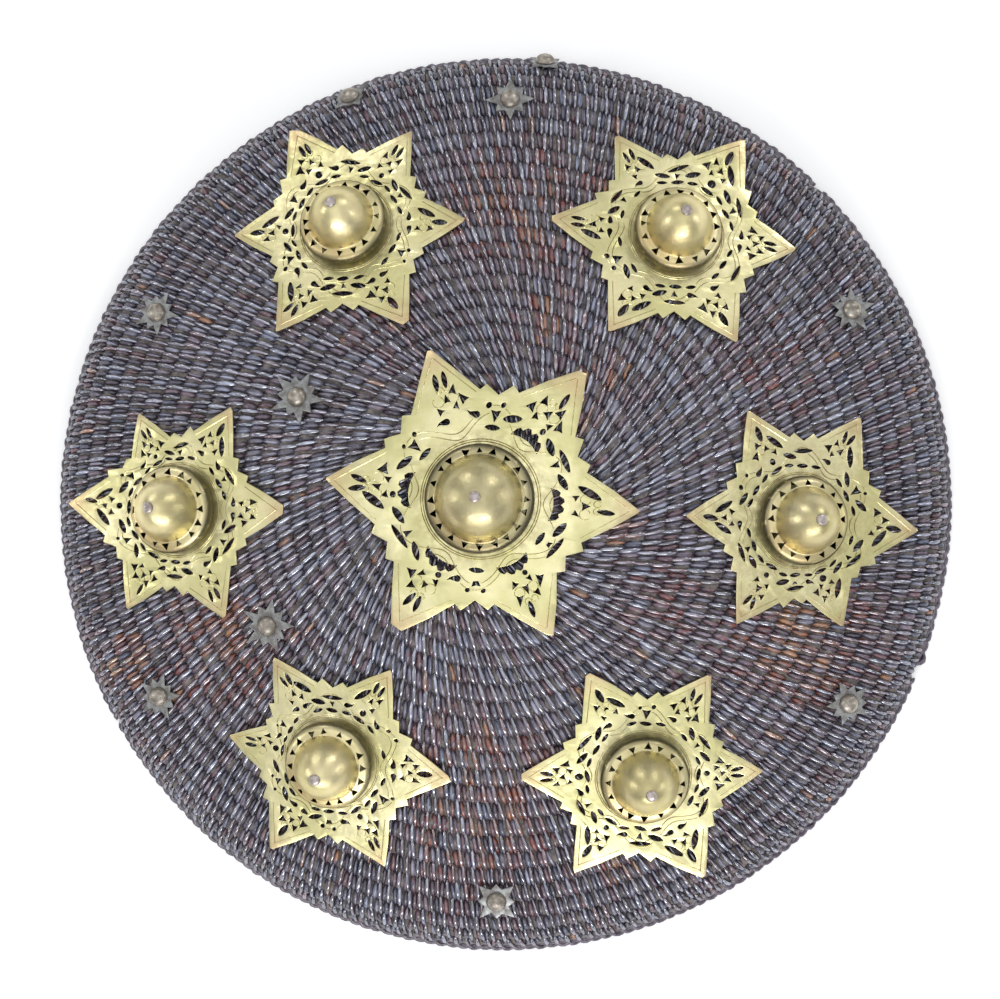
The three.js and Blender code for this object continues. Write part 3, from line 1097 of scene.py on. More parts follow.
    @staticmethod
    def lay_out(piece: Piece, faces: list[list[int]], unit: np.ndarray, copies: int) -> None:
        """Gives each strip its own cell of a map, with its underside in a corner.

        Args:
            piece: The strips.
            faces: One strip's faces.
            unit: One strip's own vertices.
            copies: How many strips there are.
        """
        columns = math.ceil(math.sqrt(3.2 * copies))
        cell: list[Spot] = []
        for face in faces:
            low, high = (0.02, 0.04) if len(face) > 4 else (0.1, 0.87)
            for across, along, _ in unit[face]:
                cell.append((0.06 + 0.88 * (across + 0.5), low + high * (along + 0.5)))
        spots = np.tile(np.array(cell), (copies, 1))
        number = np.repeat(np.arange(copies), len(cell))
        spots += np.column_stack([number % columns, number // columns])
        spots /= (columns, math.ceil(copies / columns))
        layer = piece.data.uv_layers.new(name="OFBake")
        layer.data.foreach_set("uv", spots.astype(np.float32).ravel())

    def build(self) -> None:
        """Builds the coils and the cane on both sides, and dresses them."""
        hand_over(self.coils(), COIL, Slot.RATTAN, "rattan_body")
        rows = range(self.first_row, self.rows)
        inner = [row for row in rows if self.radius_at((row + 0.5) * self.pitch) < self.split]
        outer = [row for row in rows if row not in inner]
        for name, chosen, shape, finish in (
            ("cane_face_inner", inner, STITCH, CANE),
            ("cane_face_outer", outer, STITCH, CANE),
            ("cane_wraps", rows, WRAP, DUSTY_CANE),
            ("cane_back", rows, BACK_STITCH, CANE),
        ):
            hand_over(self.sewn(name, chosen, shape), finish, Slot.RATTAN, "rattan_body")


@dataclass
class RimPlait:
    """A three-strand plait round the edge, broken through once and chipped twice."""

    middle: Spot = (246.6 * MM, 5.0 * MM)
    slope: float = math.radians(-52)
    half_width: float = 2.7 * MM
    half_depth: float = 0.75 * MM
    strand: float = 1.45 * MM
    periods: int = 84
    steps: int = 12
    break_at: float = math.radians(-22.7)
    break_width: float = 5.2 * MM
    chips: tuple[Spot, ...] = ((math.radians(-149.6), 6.5 * MM), (math.radians(44.5), 5 * MM))
    loop_at: float = math.radians(-21.1)
    loop_width: float = math.radians(0.62)
    loop_out: float = 1.5 * MM
    core: tuple[Spot, ...] = in_mm([
        (241.8, 0.0), (245.8, 0.0), (247.2, 2.2), (246.9, 6.0), (245.2, 8.4), (240.6, 8.6), (240.2, 3.6),
        (241.8, 0.0),
    ])
    core_steps: int = 240
    gap_block: Colour = (18 * MM, 10.5 * MM, 40 * MM)
    gap_shift: float = math.radians(0.75)
    gap_out: float = 252 * MM
    wander: float = 0.5 * MM
    uneven: Spot = (0.12, 0.03)
    seed: int = 5

    def strand_line(self, which: int) -> np.ndarray:
        """One strand's path all the way round, from the break.

        Args:
            which: The strand, 0 to 2.

        Returns:
            Its points and relative radius, n by 4.
        """
        count = self.periods * self.steps + 1
        dice = np.random.default_rng(self.seed + which)
        bearing = self.break_at + np.linspace(0, math.tau, count)
        phase = bearing * self.periods + math.tau * which / 3
        across = self.half_width * np.sin(phase)
        over = self.half_depth * np.sin(2 * phase)
        wander = np.convolve(dice.normal(0, self.wander, count), np.ones(9) / 9, "same")
        loop = np.exp(-0.5 * ((bearing - self.loop_at - math.tau * (bearing > 3)) / self.loop_width) ** 2)
        out = over + wander + (self.loop_out * loop if which == 0 else 0)
        radius = self.middle[0] + across * math.cos(self.slope) - out * math.sin(self.slope)
        height = self.middle[1] + across * math.sin(self.slope) + out * math.cos(self.slope)
        swell, rough = self.uneven
        thick = 1 + swell * np.sin(3 * phase + which) + dice.normal(0, rough, count)
        return np.column_stack([radius * np.cos(bearing), radius * np.sin(bearing), height, thick])

    def kept_runs(self, which: int) -> list[np.ndarray]:
        """Cuts a strand at the break, and at each chip that it does not pass under.

        Args:
            which: The strand, 0 to 2.

        Returns:
            The runs that are left, thinned at their ends.
        """
        line = self.strand_line(which)
        bearing = np.arctan2(line[:, 1], line[:, 0])
        gaps = [(self.break_at, self.break_width * (0.7, 1.2, 1.0)[which])]
        gaps += [chip for i, chip in enumerate(self.chips) if which != i]
        keep = np.ones(len(line), bool)
        for at, width in gaps:
            away = np.abs((bearing - at + math.pi) % math.tau - math.pi) * self.middle[0]
            keep &= away > width / 2
        edges = np.flatnonzero(np.diff(np.concatenate([[0], keep.astype(int), [0]])))
        runs = [line[first:last].copy() for first, last in zip(edges[::2], edges[1::2])]
        for run in runs:
            run[:2, 3] *= (0.55, 0.85)
            run[-2:, 3] *= (0.85, 0.55)
        return runs

    def core_gap(self) -> Piece:
        """A block across the core where the rim is broken and the loop stands off."""
        block = added(bpy.ops.mesh.primitive_cube_add, size=1)
        with editing(block):
            bpy.ops.transform.resize(value=self.gap_block)
        turn = Matrix.Rotation(self.break_at + self.gap_shift, 4, "Z")
        settle(block, turn @ Matrix.Translation((self.gap_out, 0, 0)))
        return block

    def build(self) -> None:
        """Builds the plait over a plain core, and dresses it."""
        runs = [run for which in range(3) for run in self.kept_runs(which)]
        plait = rods("rim_plait", runs, self.strand, 2)
        smooth(plait, 80)
        core = spun("rim_core", self.core, self.core_steps)
        cut_away(core, self.core_gap())
        smooth(core, 50)
        hand_over(joined(plait, core), PLAIT, Slot.RIM, "rim_braid")


WEDGE = np.array([[1, 0], [0.1, 0.62], [-0.6, 1], [-0.45, 0], [-0.6, -1], [0.1, -0.5]])
COMMA_HEAD = np.linspace(0.35 * math.pi, 1.65 * math.pi, 9)
COMMA = np.vstack([
    np.column_stack([np.cos(COMMA_HEAD), np.sin(COMMA_HEAD)]),
    [[1.3, -0.55], [2.2, -0.1], [3.0, 0.9], [2.0, 0.55], [1.2, 0.75]],
])


@dataclass
class Piercer:
    """The small chisels that pierce a star: each adds one hole, in degrees and shares of the reach."""

    dice: random.Random
    scatter: float = 0.005
    steadiness: float = 0.6
    cuts: list[np.ndarray] = field(default_factory=list)

    def strike(
        self, reach: float, bearing: float, flat: np.ndarray, turn: float = 0, slack: float = 0
    ) -> None:
        """Adds an outline, moved and turned a little as by hand.

        Args:
            reach: How far out it lies.
            bearing: Where it lies round the star.
            flat: The outline round its own middle.
            turn: The bearing of its length.
            slack: How far that may be off.
        """
        moved = [self.dice.gauss(0, self.scatter) * self.steadiness for _ in "xy"]
        turn += self.dice.gauss(0, slack) if slack else 0
        self.cuts.append(polar(reach, bearing) + np.array(moved) + turned_to(math.radians(turn), flat))

    def leaf(self, reach: float, bearing: float, turn: float, length: float, width: float) -> None:
        """A pointed oval with its half length and half width."""
        cos, sin = ring(1, 12).T
        flat = np.column_stack([length * cos, width * sin * np.abs(sin) ** 0.4])
        self.strike(reach, bearing, flat, turn, 6)

    def wedge(self, reach: float, bearing: float, turn: float, size: float) -> None:
        """A triangle with one hollow side, pointing along a bearing."""
        sides = size * self.dice.uniform(0.85, 1.2), size * self.dice.uniform(0.6, 0.85)
        self.strike(reach, bearing, 0.62 * (WEDGE * sides), turn, 9)

    def disc(self, reach: float, bearing: float, size: float) -> None:
        """A round hole."""
        wide = size * self.dice.uniform(0.8, 1.2)
        self.strike(reach, bearing, ring(1, 11) * (wide, wide * self.dice.uniform(0.8, 1)))

    def comma(self, reach: float, bearing: float, turn: float, size: float, hand: int) -> None:
        """A round head with a tail along a bearing that curls to one hand."""
        flat = size * COMMA * (1, hand)
        self.strike(reach, bearing, flat[::hand], turn)

    def crescent(self, reach: float, half: float, bulge: float, width: float, lobes: int) -> None:
        """A slender curved slot with a lobed outer side.

        Args:
            reach: How far out its ends lie.
            half: Half of its spread round the star.
            bulge: How far its middle moves outwards.
            width: Its width at the middle.
            lobes: How many lobes it has.
        """
        share = np.linspace(0, 1, 13)
        arch = 4 * share * (1 - share)
        inner = reach + bulge * arch
        outer = inner + width * np.sqrt(arch) * (0.62 + 0.38 * np.abs(np.sin(lobes * math.pi * share)))
        turns = np.radians(-half + 2 * half * share)
        low, high = (np.column_stack([r * np.cos(turns), r * np.sin(turns)]) for r in (inner, outer))
        self.cuts.append(np.vstack([low, high[-2:0:-1]]))


# The domes' profiles, and a rivet's clenched end and head from where they bear, in millimetres
OUTER_DOME = in_mm([
    (20.4, -0.6), (21.3, 0.3), (22.6, 1.7), (23.6, 3.4), (24.1, 5.2), (24.1, 6.8), (23.6, 8.5), (22.6, 9.9),
    (21.2, 10.7), (19.9, 11.0), (18.9, 11.1), (18.3, 11.3), (17.9, 11.9), (17.6, 13.2), (17.1, 15.2),
    (16.2, 18.2), (15.0, 21.0), (13.2, 24.4), (10.9, 27.5), (8.2, 30.3), (5.2, 32.4),
    (2.7, 33.5), (0, 33.9),
])
CENTRE_DOME = in_mm([
    (25.6, -0.6), (26.5, 0.3), (27.8, 1.7), (28.8, 3.3), (29.3, 5.0), (29.3, 6.4), (28.8, 7.9), (27.8, 9.2),
    (26.5, 9.9), (25.3, 10.2), (24.4, 10.3), (23.7, 10.5), (23.2, 11.2), (22.8, 12.6), (22.2, 14.9),
    (21.2, 18.0), (19.6, 21.4), (17.1, 25.0), (14.0, 28.0), (10.5, 30.2), (6.8, 31.8),
    (3.0, 32.75), (0, 33.0),
])
RIVET_END = ((0, -1.6), (1.6, -1.55), (2.9, -1.25), (3.7, -0.8), (4, -0.2), (3.9, 0), (1.9, 0))
RIVET_HEAD = ((1.9, 0), (3.1, 0), (3.05, 0.5), (2.7, 1.1), (2.0, 1.5), (1.1, 1.68), (0, 1.72))


@dataclass
class BrassStar:
    """A pierced star plate, the dome on it and the rivet through both.

    The ends are each point's reach in millimetres, its bearing in degrees and its blunt end's width
    in millimetres. Spots of the pattern are a share of the reach and a bearing in degrees.
    """

    place: str
    x: float
    y: float
    ends: Sequence[Sequence[float]]
    dome: tuple[Spot, ...]
    tips: TipStyle
    ledge: tuple[float, float, int]
    strap: Spot
    tarnish: float
    patina: float
    seed: int
    thickness: float = 1.2 * MM
    gap: float = 1.0 * MM
    bevel: float = 0.22 * MM
    wire: float = 0.32 * MM
    wire_sunk: float = 0.05 * MM
    edge_end: Spot = (0.69, 19.5)
    tooth: Spot = (0.725, 23.1)
    notch: Spot = (0.655, 30)
    valley: Spot = (0.385, 0.23)
    free: Spot = (0.36, 0.24)
    skew: float = 0.35
    bulge: float = 0.010
    border: float = 2.4 * MM
    web: float = 0.6 * MM
    edge_web: float = 3.0 * MM
    uncut: float = 0.04
    grid: float = 8 * MM
    wall: float = 1.1 * MM
    seat_gap: float = 0.35 * MM
    dome_steps: int = 72
    rivet_steps: int = 28
    rivet_hole: float = 2.7 * MM
    waves: Spot = (0.16 * MM, 0.1 * MM)
    deepest_wave: float = -0.2 * MM
    # How dark the lower walls (painted shade) and the chased lines get.
    grime_and_shade: float = 0.7
    # Painted shade in a ring round the dome's foot: its middle as a share of the reach, its fall-off and
    # its strength.
    painted_ring_shade: tuple[float, float, float] = (0.36, 0.08, 0.42)

    def __post_init__(self) -> None:
        """Sets the star's frame, its mean reach and its own source of chance."""
        self.seat = FACE.seat(self.x, self.y)
        self.dice = random.Random(self.seed)
        reaches, self.bearings, blunts = np.array(self.ends)
        self.reaches, self.blunts = reaches * MM, blunts * MM
        self.points = len(reaches)
        self.reach = float(self.reaches.mean())

    def stretched(self, even: np.ndarray) -> np.ndarray:
        """Stretches the even pattern to the star's own uneven points.

        Args:
            even: Points of an even star whose points reach 1.

        Returns:
            The points on the real plate, in metres.
        """
        rho = np.hypot(even[:, 0], even[:, 1])
        sector = np.degrees(np.arctan2(even[:, 1], even[:, 0])) % 360 / SECTOR
        tip = sector.astype(int) % self.points
        after = (tip + 1) % self.points
        share = sector - sector.astype(int)
        gap = (self.bearings[after] - self.bearings[tip]) % 360
        bearing = np.radians(self.bearings[tip] + share * gap)
        blend = np.clip((share - self.valley[0]) / self.valley[1], 0, 1)
        local = self.reaches[tip] * (1 - blend) + self.reaches[after] * blend
        far = np.clip((rho - self.free[0]) / self.free[1], 0, 1)
        rho = rho * (self.reach + far * (local - self.reach))
        return np.column_stack([rho * np.cos(bearing), rho * np.sin(bearing)])

    def outline(self) -> np.ndarray:
        """The plate's edge as an even star, with tips as blunt as each one is."""
        corners: list[np.ndarray] = []
        for tip in range(self.points):
            blunt = self.blunts[tip] / self.reaches[tip]
            skew = self.dice.uniform(-self.skew, self.skew) * blunt
            halves: list[list[np.ndarray]] = []
            for hand in HANDS:
                cut = np.array([1 - 0.1 * blunt + skew * hand, hand * blunt / 2])
                end, tooth = (polar(reach, turn * hand) for reach, turn in (self.edge_end, self.tooth))
                bulge = np.array([0.5, 0.86 * hand]) * self.dice.uniform(0.0, self.bulge)
                halves.append([cut, 0.5 * (cut + end) + bulge, end, tooth])
            flat = [*halves[0][::-1], *halves[1], polar(*self.notch)]
            corners.append(to_tip(tip, np.array(flat)))
        return np.vstack(corners)

    def pierce_tip(self, chisel: Piercer) -> None:
        """Pierces one point, along +X: leaves at its end and wedges along its border.

        Args:
            chisel: What cuts the holes.
        """
        if self.tips is TipStyle.TWIN or self.dice.random() < 0.6:
            for hand in HANDS:
                chisel.leaf(0.788, 2.1 * hand, 6 * hand, 0.058, 0.018)
        else:
            chisel.leaf(0.79, self.dice.gauss(0, 0.4), 0, 0.068, 0.027)
        for hand in HANDS:
            if self.dice.random() < 0.6:
                chisel.wedge(0.712, 5.0 * hand, 18 * hand, 0.062)
                chisel.wedge(0.645, 9.8 * hand, -20 * hand, 0.074)
            else:
                chisel.leaf(0.684, 7.6 * hand, 147 * hand, 0.088, 0.026)
            chisel.wedge(0.606, 5.0 * hand, 30 * hand, 0.050)
        chisel.wedge(0.662, 0, 0, 0.056)

    def pierce_ring(self, chisel: Piercer) -> None:
        """Pierces the strapwork round the dome, for one point along +X.

        Args:
            chisel: What cuts the holes.
        """
        if self.tips is TipStyle.TWIN and self.dice.random() < 0.8:
            chisel.crescent(0.446, 14, 0.014, 0.074, 4)
            for hand in HANDS:
                chisel.disc(0.552, 4.4 * hand, 0.022)
        elif self.dice.random() < 0.6:
            chisel.disc(0.532, 0, 0.029)
            chisel.leaf(0.458, 0, 90, 0.058, 0.018)
        else:
            for hand in HANDS:
                chisel.comma(0.532, 4.6 * hand, 82 * hand, 0.021, hand)
        if self.dice.random() < 0.65:
            chisel.leaf(0.572, 30, 120, 0.086, 0.019)
            chisel.wedge(0.512, 30, 210, 0.052)
        else:
            chisel.wedge(0.535, 30, 210, 0.074)
            for hand in HANDS:
                chisel.disc(0.590, 30 + 5 * hand, 0.018)
        chisel.leaf(0.452, 30, 120, 0.050, 0.018)
        for hand in HANDS:
            bearing = 30 + 13 * hand
            if self.dice.random() < 0.7:
                chisel.leaf(0.530, bearing, bearing + 66 * hand, 0.062, 0.023)
            else:
                chisel.comma(0.526, bearing, bearing + 80 * hand, 0.022, -hand)
            if self.tips is TipStyle.LEAF:
                chisel.leaf(0.462, 30 + 15 * hand, bearing + 84 * hand, 0.042, 0.015)

    def holes(self, edge: np.ndarray) -> list[np.ndarray]:
        """Every piercing of the plate, with a few left uncut as on the real ones.

        Args:
            edge: The plate's edge, that they keep clear of.

        Returns:
            Their outlines, from the rivet's hole on.
        """
        every = [ring(self.rivet_hole, 16)]
        rim, taken = dense(edge), dense(every[0])
        for tip in range(self.points):
            chisel = Piercer(self.dice)
            self.pierce_tip(chisel)
            self.pierce_ring(chisel)
            for hole in chisel.cuts:
                cut = self.stretched(to_tip(tip, hole))
                whole = self.dice.random() > self.uncut and stand_apart(cut, rim, self.edge_web)
                if whole and stand_apart(cut, taken, self.web):
                    every.append(cut)
                    taken = np.vstack([taken, dense(cut)])
        return every

    def tip_lines(self) -> list[np.ndarray]:
        """The chased lines of one point, along +X: its border and its round leaves."""
        lines: list[np.ndarray] = []
        shares = np.linspace(0.12, 0.98, 24)[:, None]
        turns = np.linspace(0.2 * math.pi, 1.9 * math.pi, 18)
        for hand in HANDS:
            run = polar(self.edge_end[0], self.edge_end[1] * hand) - (1.0, 0.0)
            inward = np.array([-run[1], run[0]]) * hand / np.linalg.norm(run)
            lines.append(np.array([1.0, 0.0]) + shares * run + inward * self.border / self.reach)
            round_leaf = np.column_stack([np.cos(turns), hand * np.sin(turns)])
            for reach, turn, size in ((0.662, 4.3, 0.034), (0.735, 1.9, 0.022)):
                lines.append(polar(reach, turn * hand) + size * round_leaf)
        return lines

    def chased_lines(self, holes: Sequence[np.ndarray]) -> list[np.ndarray]:
        """The raised lines that frame the piercings.

        Args:
            holes: The piercings, at which the lines stop.

        Returns:
            The lines, each open.
        """
        lines = [to_tip(tip, line) for tip in range(self.points) for line in self.tip_lines()]
        low, rise = self.strap
        turns = np.linspace(0, 360, 181)
        from_axis = np.abs((turns + SECTOR / 2) % SECTOR - SECTOR / 2) / (SECTOR / 2)
        strap = low + rise * np.sin(0.5 * math.pi * from_axis) ** 2
        widest = np.full(len(turns), max(radius for radius, _ in self.dome) / self.reach)
        for reach in (strap - 0.021, strap + 0.021, widest + 0.016, widest + 0.030):
            lines.append(np.array([polar(r, t) for r, t in zip(reach, turns)]))
        return [run for line in lines for run in cut_at(self.stretched(line), holes)]

    def laid(self, flat: np.ndarray, height: np.ndarray) -> np.ndarray:
        """Flat plate points laid on the cone round the star's own middle.

        Args:
            flat: Points of the plate, n by 2.
            height: Their heights over the face.

        Returns:
            The points, n by 3.
        """
        bearing = math.atan2(self.y, self.x)
        along, across = turned_to(-bearing, flat).T
        along = along * math.cos(float(FACE.cone_tilt(math.hypot(self.x, self.y))))
        level = np.array([self.x, self.y]) + turned_to(bearing, np.column_stack([along, across]))
        radius = np.hypot(*level.T)
        tilt = FACE.cone_tilt(radius)
        out = 1 + height * np.sin(tilt) / np.maximum(radius, MERGE)
        return np.column_stack([level * out[:, None], FACE.cone_height(radius) + height * np.cos(tilt)])

    def cover(self) -> np.ndarray:
        """Where the plate lies, seen from above: its points and the notches between them."""
        corners = ((1.0, 0.0), self.notch)
        even = [polar(reach, turn + SECTOR * tip) for tip in range(self.points) for reach, turn in corners]
        return self.laid(self.stretched(np.array(even)), np.zeros(len(even)))[:, :2]

    def plate(self) -> Piece:
        """The plate: cut flat, chased, then bent on to the cone."""
        name = f"brass_star_{self.place}"
        edge = self.stretched(self.outline())
        holes = self.holes(edge)
        sheet = flat_sheet(name, [edge, *holes], self.thickness, self.bevel)
        with editing(sheet):
            for way in ((1, 0, 0), (0, 1, 0)):
                for cut in np.arange(-self.reaches.max(), self.reaches.max(), self.grid):
                    bpy.ops.mesh.select_all(action="SELECT")
                    bpy.ops.mesh.bisect(plane_co=tuple(cut * w for w in way), plane_no=way)
        smooth(sheet, 32)
        lines = [raised(line, self.thickness - self.wire_sunk) for line in self.chased_lines(holes)]
        chased = rods(f"{name}_lines", lines, self.wire, 0)
        smooth(chased, 60)
        plate = joined(sheet, chased)
        flat = places_of(plate)
        reach = np.hypot(flat[:, 0], flat[:, 1]) / self.reach
        bearing = np.arctan2(flat[:, 1], flat[:, 0])
        long, short = self.waves
        wave = long * np.sin(3 * bearing + self.seed) * reach**2 + short * np.sin(7 * bearing)
        height = self.gap + flat[:, 2] + np.maximum(wave, self.deepest_wave)
        # Painted shade: a ring round the dome's foot and the lower half of every edge and piercing wall are
        # darkened; the star's patina goes over all, and the chased lines are darkened too.
        at, fade, most = self.painted_ring_shade
        grime_and_shade = np.clip(1.25 - np.abs(reach - at) / fade, 0, 1) * most
        grime_and_shade = np.maximum(grime_and_shade, (flat[:, 2] < 0.9 * MM) * self.grime_and_shade) + self.patina
        on_lines = flat[:, 2] > self.thickness + 0.02 * MM
        note(plate, "reach", reach)
        note(plate, "grime_and_shade", np.maximum(grime_and_shade, on_lines * self.grime_and_shade))
        set_places(plate, self.laid(flat[:, :2], height))
        return plate

    def foot(self) -> float:
        """The height over the seat at which the dome's foot clears the bent plate."""
        under = ring(self.dome[0][0] - self.wall, 24)
        tops = self.laid(under, np.full(len(under), self.gap + self.thickness))
        down = self.seat.inverted()
        return max((down @ Vector(top)).z for top in tops) + self.seat_gap

    def piercing_tool(self) -> Piece:
        """Triangular punches for the dome's ledge, copied round and joined."""
        inner, outer, count = self.ledge
        first = added(bpy.ops.mesh.primitive_cone_add, vertices=3, radius1=1, radius2=1, depth=1)
        size = (outer - inner) / 1.6
        on_ledge = Matrix.Translation(((inner + outer) / 2, 0, self.dome[-1][1] * 0.31))
        punches = []
        for i in range(count):
            bearing = math.tau * (i + self.dice.uniform(-0.14, 0.14)) / count
            wide = size * self.dice.uniform(0.75, 1.1)
            turn = self.dice.choice((0, math.pi, math.pi)) + self.dice.uniform(-0.25, 0.25)
            punch = put_in(first.name, first.data.copy())
            seat = Matrix.Rotation(bearing, 4, "Z") @ on_ledge @ Matrix.Rotation(turn + math.pi / 2, 4, "Z")
            settle(punch, seat @ Matrix.Diagonal((wide, wide, 8 * MM, 1)))
            punches.append(punch)
        bpy.data.objects.remove(first)
        return joined(*punches)

    def boss(self, foot: float) -> Piece:
        """The dome: spun, given its wall and pierced round the ledge.

        Args:
            foot: The height of its foot over the seat.

        Returns:
            The dome, in its seat.
        """
        dome = spun(f"brass_dome_{self.place}", self.dome, self.dome_steps)
        modify(dome, "SOLIDIFY", thickness=self.wall, offset=-1)
        cut_away(dome, self.piercing_tool())
        smooth(dome, 42)
        flat, heights = places_of(dome)[:, :2] / self.dome[0][0], places_of(dome)[:, 2] / self.dome[-1][1]
        # Painted reflection: each dome is warmer on its lower-left side, one fixed way for all, carried as
        # its reach.
        lower_left = np.clip(flat @ (-0.6, -0.8), 0, 1)
        note(dome, "reach", 0.5 + 0.5 * lower_left)
        # Painted shade darkens the wall below the ledge, a little more is added round the rivet, and the
        # star's tarnish goes over all.
        round_rivet = np.hypot(*flat.T) < 0.2
        grime_and_shade = np.clip((0.315 - heights) / 0.06, 0, 1) * 0.9 + round_rivet * 0.2
        note(dome, "grime_and_shade", grime_and_shade + self.tarnish)
        settle(dome, self.seat @ Matrix.Translation((0, 0, foot)))
        return dome

    def rivet(self, foot: float) -> Piece:
        """The rivet, with its head on the dome and its end clenched on the back.

        Args:
            foot: The height of the dome's foot over the seat.

        Returns:
            The rivet, in its seat.
        """
        under = foot / MM + self.dome[-1][1] / MM - 0.35
        back = -FACE.wall / MM - 0.9
        outline = [(r, at + h) for at, part in ((back, RIVET_END), (under, RIVET_HEAD)) for r, h in part]
        piece = spun(f"boss_pin_{self.place}", in_mm(outline), self.rivet_steps)
        smooth(piece, 45)
        settle(piece, self.seat)
        return piece

    def build(self) -> None:
        """Builds the plate, the dome and the rivet, and dresses them."""
        foot = self.foot()
        hand_over(self.plate(), PLATE_BRASS, Slot.BRASS, f"star_plate_{self.place}")
        hand_over(self.boss(foot), DOME_BRASS, Slot.BRASS, f"boss_dome_{self.place}")
        hand_over(self.rivet(foot), RIVET_METAL, Slot.RIVET, f"boss_rivet_{self.place}")


@dataclass
class SmallStar:
    """A small grey star held by a dome-headed nail; its size is its long and short points and its roots."""

    place: str
    x: float
    y: float
    points: int
    turn: float
    size: tuple[float, float, float]
    seed: int
    thickness: float = 1.0 * MM
    gap: float = 0.7 * MM
    bevel: float = 0.2 * MM
    dish: float = 0.5 * MM
    hole: float = 2.4 * MM
    nail: Spot = (5.4 * MM, 4.2 * MM)
    shank: Spot = (1.3 * MM, 7 * MM)
    steps: int = 32

    def __post_init__(self) -> None:
        """Sets the star's frame."""
        self.seat = FACE.seat(self.x, self.y)

    def plate(self) -> Piece:
        """The star: long and short points take turns, with its tips pressed down a little."""
        dice = random.Random(self.seed)
        long, short, root = self.size
        corners = []
        for i in range(2 * self.points):
            bearing = self.turn + 180 * i / self.points
            reach = (long if i % 2 == 0 else short) * dice.uniform(0.93, 1.04)
            corners.append(polar(reach, bearing + dice.uniform(-3, 3)))
            corners.append(polar(root * dice.uniform(0.95, 1.05), bearing + 90 / self.points))
        outlines = [np.array(corners), ring(self.hole, 16)]
        sheet = flat_sheet(f"tin_star_{self.place}", outlines, self.thickness, self.bevel)
        with editing(sheet):
            bpy.ops.mesh.subdivide(number_cuts=1)
        smooth(sheet, 35)
        flat = places_of(sheet)
        share = np.hypot(*flat[:, :2].T) / long
        flat[:, 2] += self.gap - self.dish * share**2 * dice.uniform(0.4, 1.0)
        set_places(sheet, flat)
        settle(sheet, self.seat)
        return sheet

    def nail_head(self) -> Piece:
        """The nail: a dome with a rolled edge, and its shank in the weave."""
        (wide, high), (thin, deep) = self.nail, self.shank
        under, roll = self.gap + self.thickness + 0.1 * MM, 0.4 * MM
        outline = [(0, under - deep), (thin, under - deep + 1 * MM), (thin, under), (wide, under)]
        outline.append((wide * 1.02, under + 0.35 * MM))
        for bend in map(math.radians, range(12, 90, 13)):
            outline.append((wide * 0.97 * math.cos(bend), under + roll + (high - roll) * math.sin(bend)))
        outline.append((0, under + high))
        piece = spun(f"nail_head_{self.place}", outline, self.steps)
        smooth(piece, 50)
        settle(piece, self.seat)
        return piece

    def build(self) -> None:
        """Builds the star and its nail, and dresses them."""
        hand_over(self.plate(), GREY_TIN, Slot.TIN, f"stud_star_{self.place}")
        hand_over(self.nail_head(), NAIL_BRONZE, Slot.NAIL, f"stud_nail_{self.place}")


def brass_stars() -> list[BrassStar]:
    """The seven brass stars, from the middle one round."""
    middle = (CENTRE_DOME, TipStyle.TWIN, (23.3 * MM, 27.2 * MM, 20), (0.418, 0.150))
    outer = (OUTER_DOME, TipStyle.LEAF, (18.1 * MM, 22.0 * MM, 16), (0.445, 0.135))
    rows = (
        ("centre", -6.3, -3, middle, 0.28, 0, (83.8, 86.9, 84.9, 84.3, 82.3, 80.7),
         (-4.3, 51.6, 109.2, 172.0, 236.0, 296.9), (1.5, 5.0, 2.5, 1.2, 6.5, 3.0)),
        ("upper_left", -82, 147.5, outer, 0, 0.24, (65.6, 64.8, 68.1, 63.6, 69.2, 68.1),
         (0.7, 58.4, 118.8, 181.5, 238.5, 302.1), (2.2, 1.0, 5.0, 0.8, 1.2, 4.0)),
        ("upper_right", 97.5, 142, outer, 0, 0.16, (65.7, 69.1, 65.3, 68.6, 68.2, 68.1),
         (-5.5, 56.0, 119.2, 174.0, 236.7, 297.5), (2.0, 2.0, 2.5, 3.0, 1.5, 1.2)),
        ("right", 163.5, -13.5, outer, 0.16, 0.34, (67.3, 65.7, 65.5, 64.1, 65.7, 61.4),
         (-4.3, 58.4, 116.5, 177.9, 236.8, 292.8), (0.8, 1.0, 1.5, 0.8, 0.8, 1.5)),
        ("lower_right", 79, -150.5, outer, 0.10, 0.06, (64.9, 65.6, 65.3, 66.2, 64.7, 67.0),
         (1.2, 57.9, 118.1, 179.1, 234.7, 300.5), (0.8, 2.2, 2.8, 3.5, 2.0, 2.2)),
        ("lower_left", -89, -143, outer, 0, 0.12, (65.6, 62.3, 64.3, 58.9, 62.8, 64.1),
         (-6.9, 55.5, 118.1, 167.4, 233.8, 294.7), (3.0, 1.5, 2.0, 1.0, 1.5, 1.2)),
        ("left", -174.5, -6.5, outer, 0, 0.12, (64.0, 63.5, 58.2, 66.8, 62.1, 65.0),
         (-0.7, 59.1, 114.1, 176.0, 240.2, 295.7), (4.5, 2.2, 1.2, 1.0, 1.5, 2.2)),
    )
    return [
        BrassStar(place, x * MM, y * MM, ends, *kind, tarnish, patina, seed=17 + 3 * i)
        for i, (place, x, y, kind, tarnish, patina, *ends) in enumerate(rows)
    ]


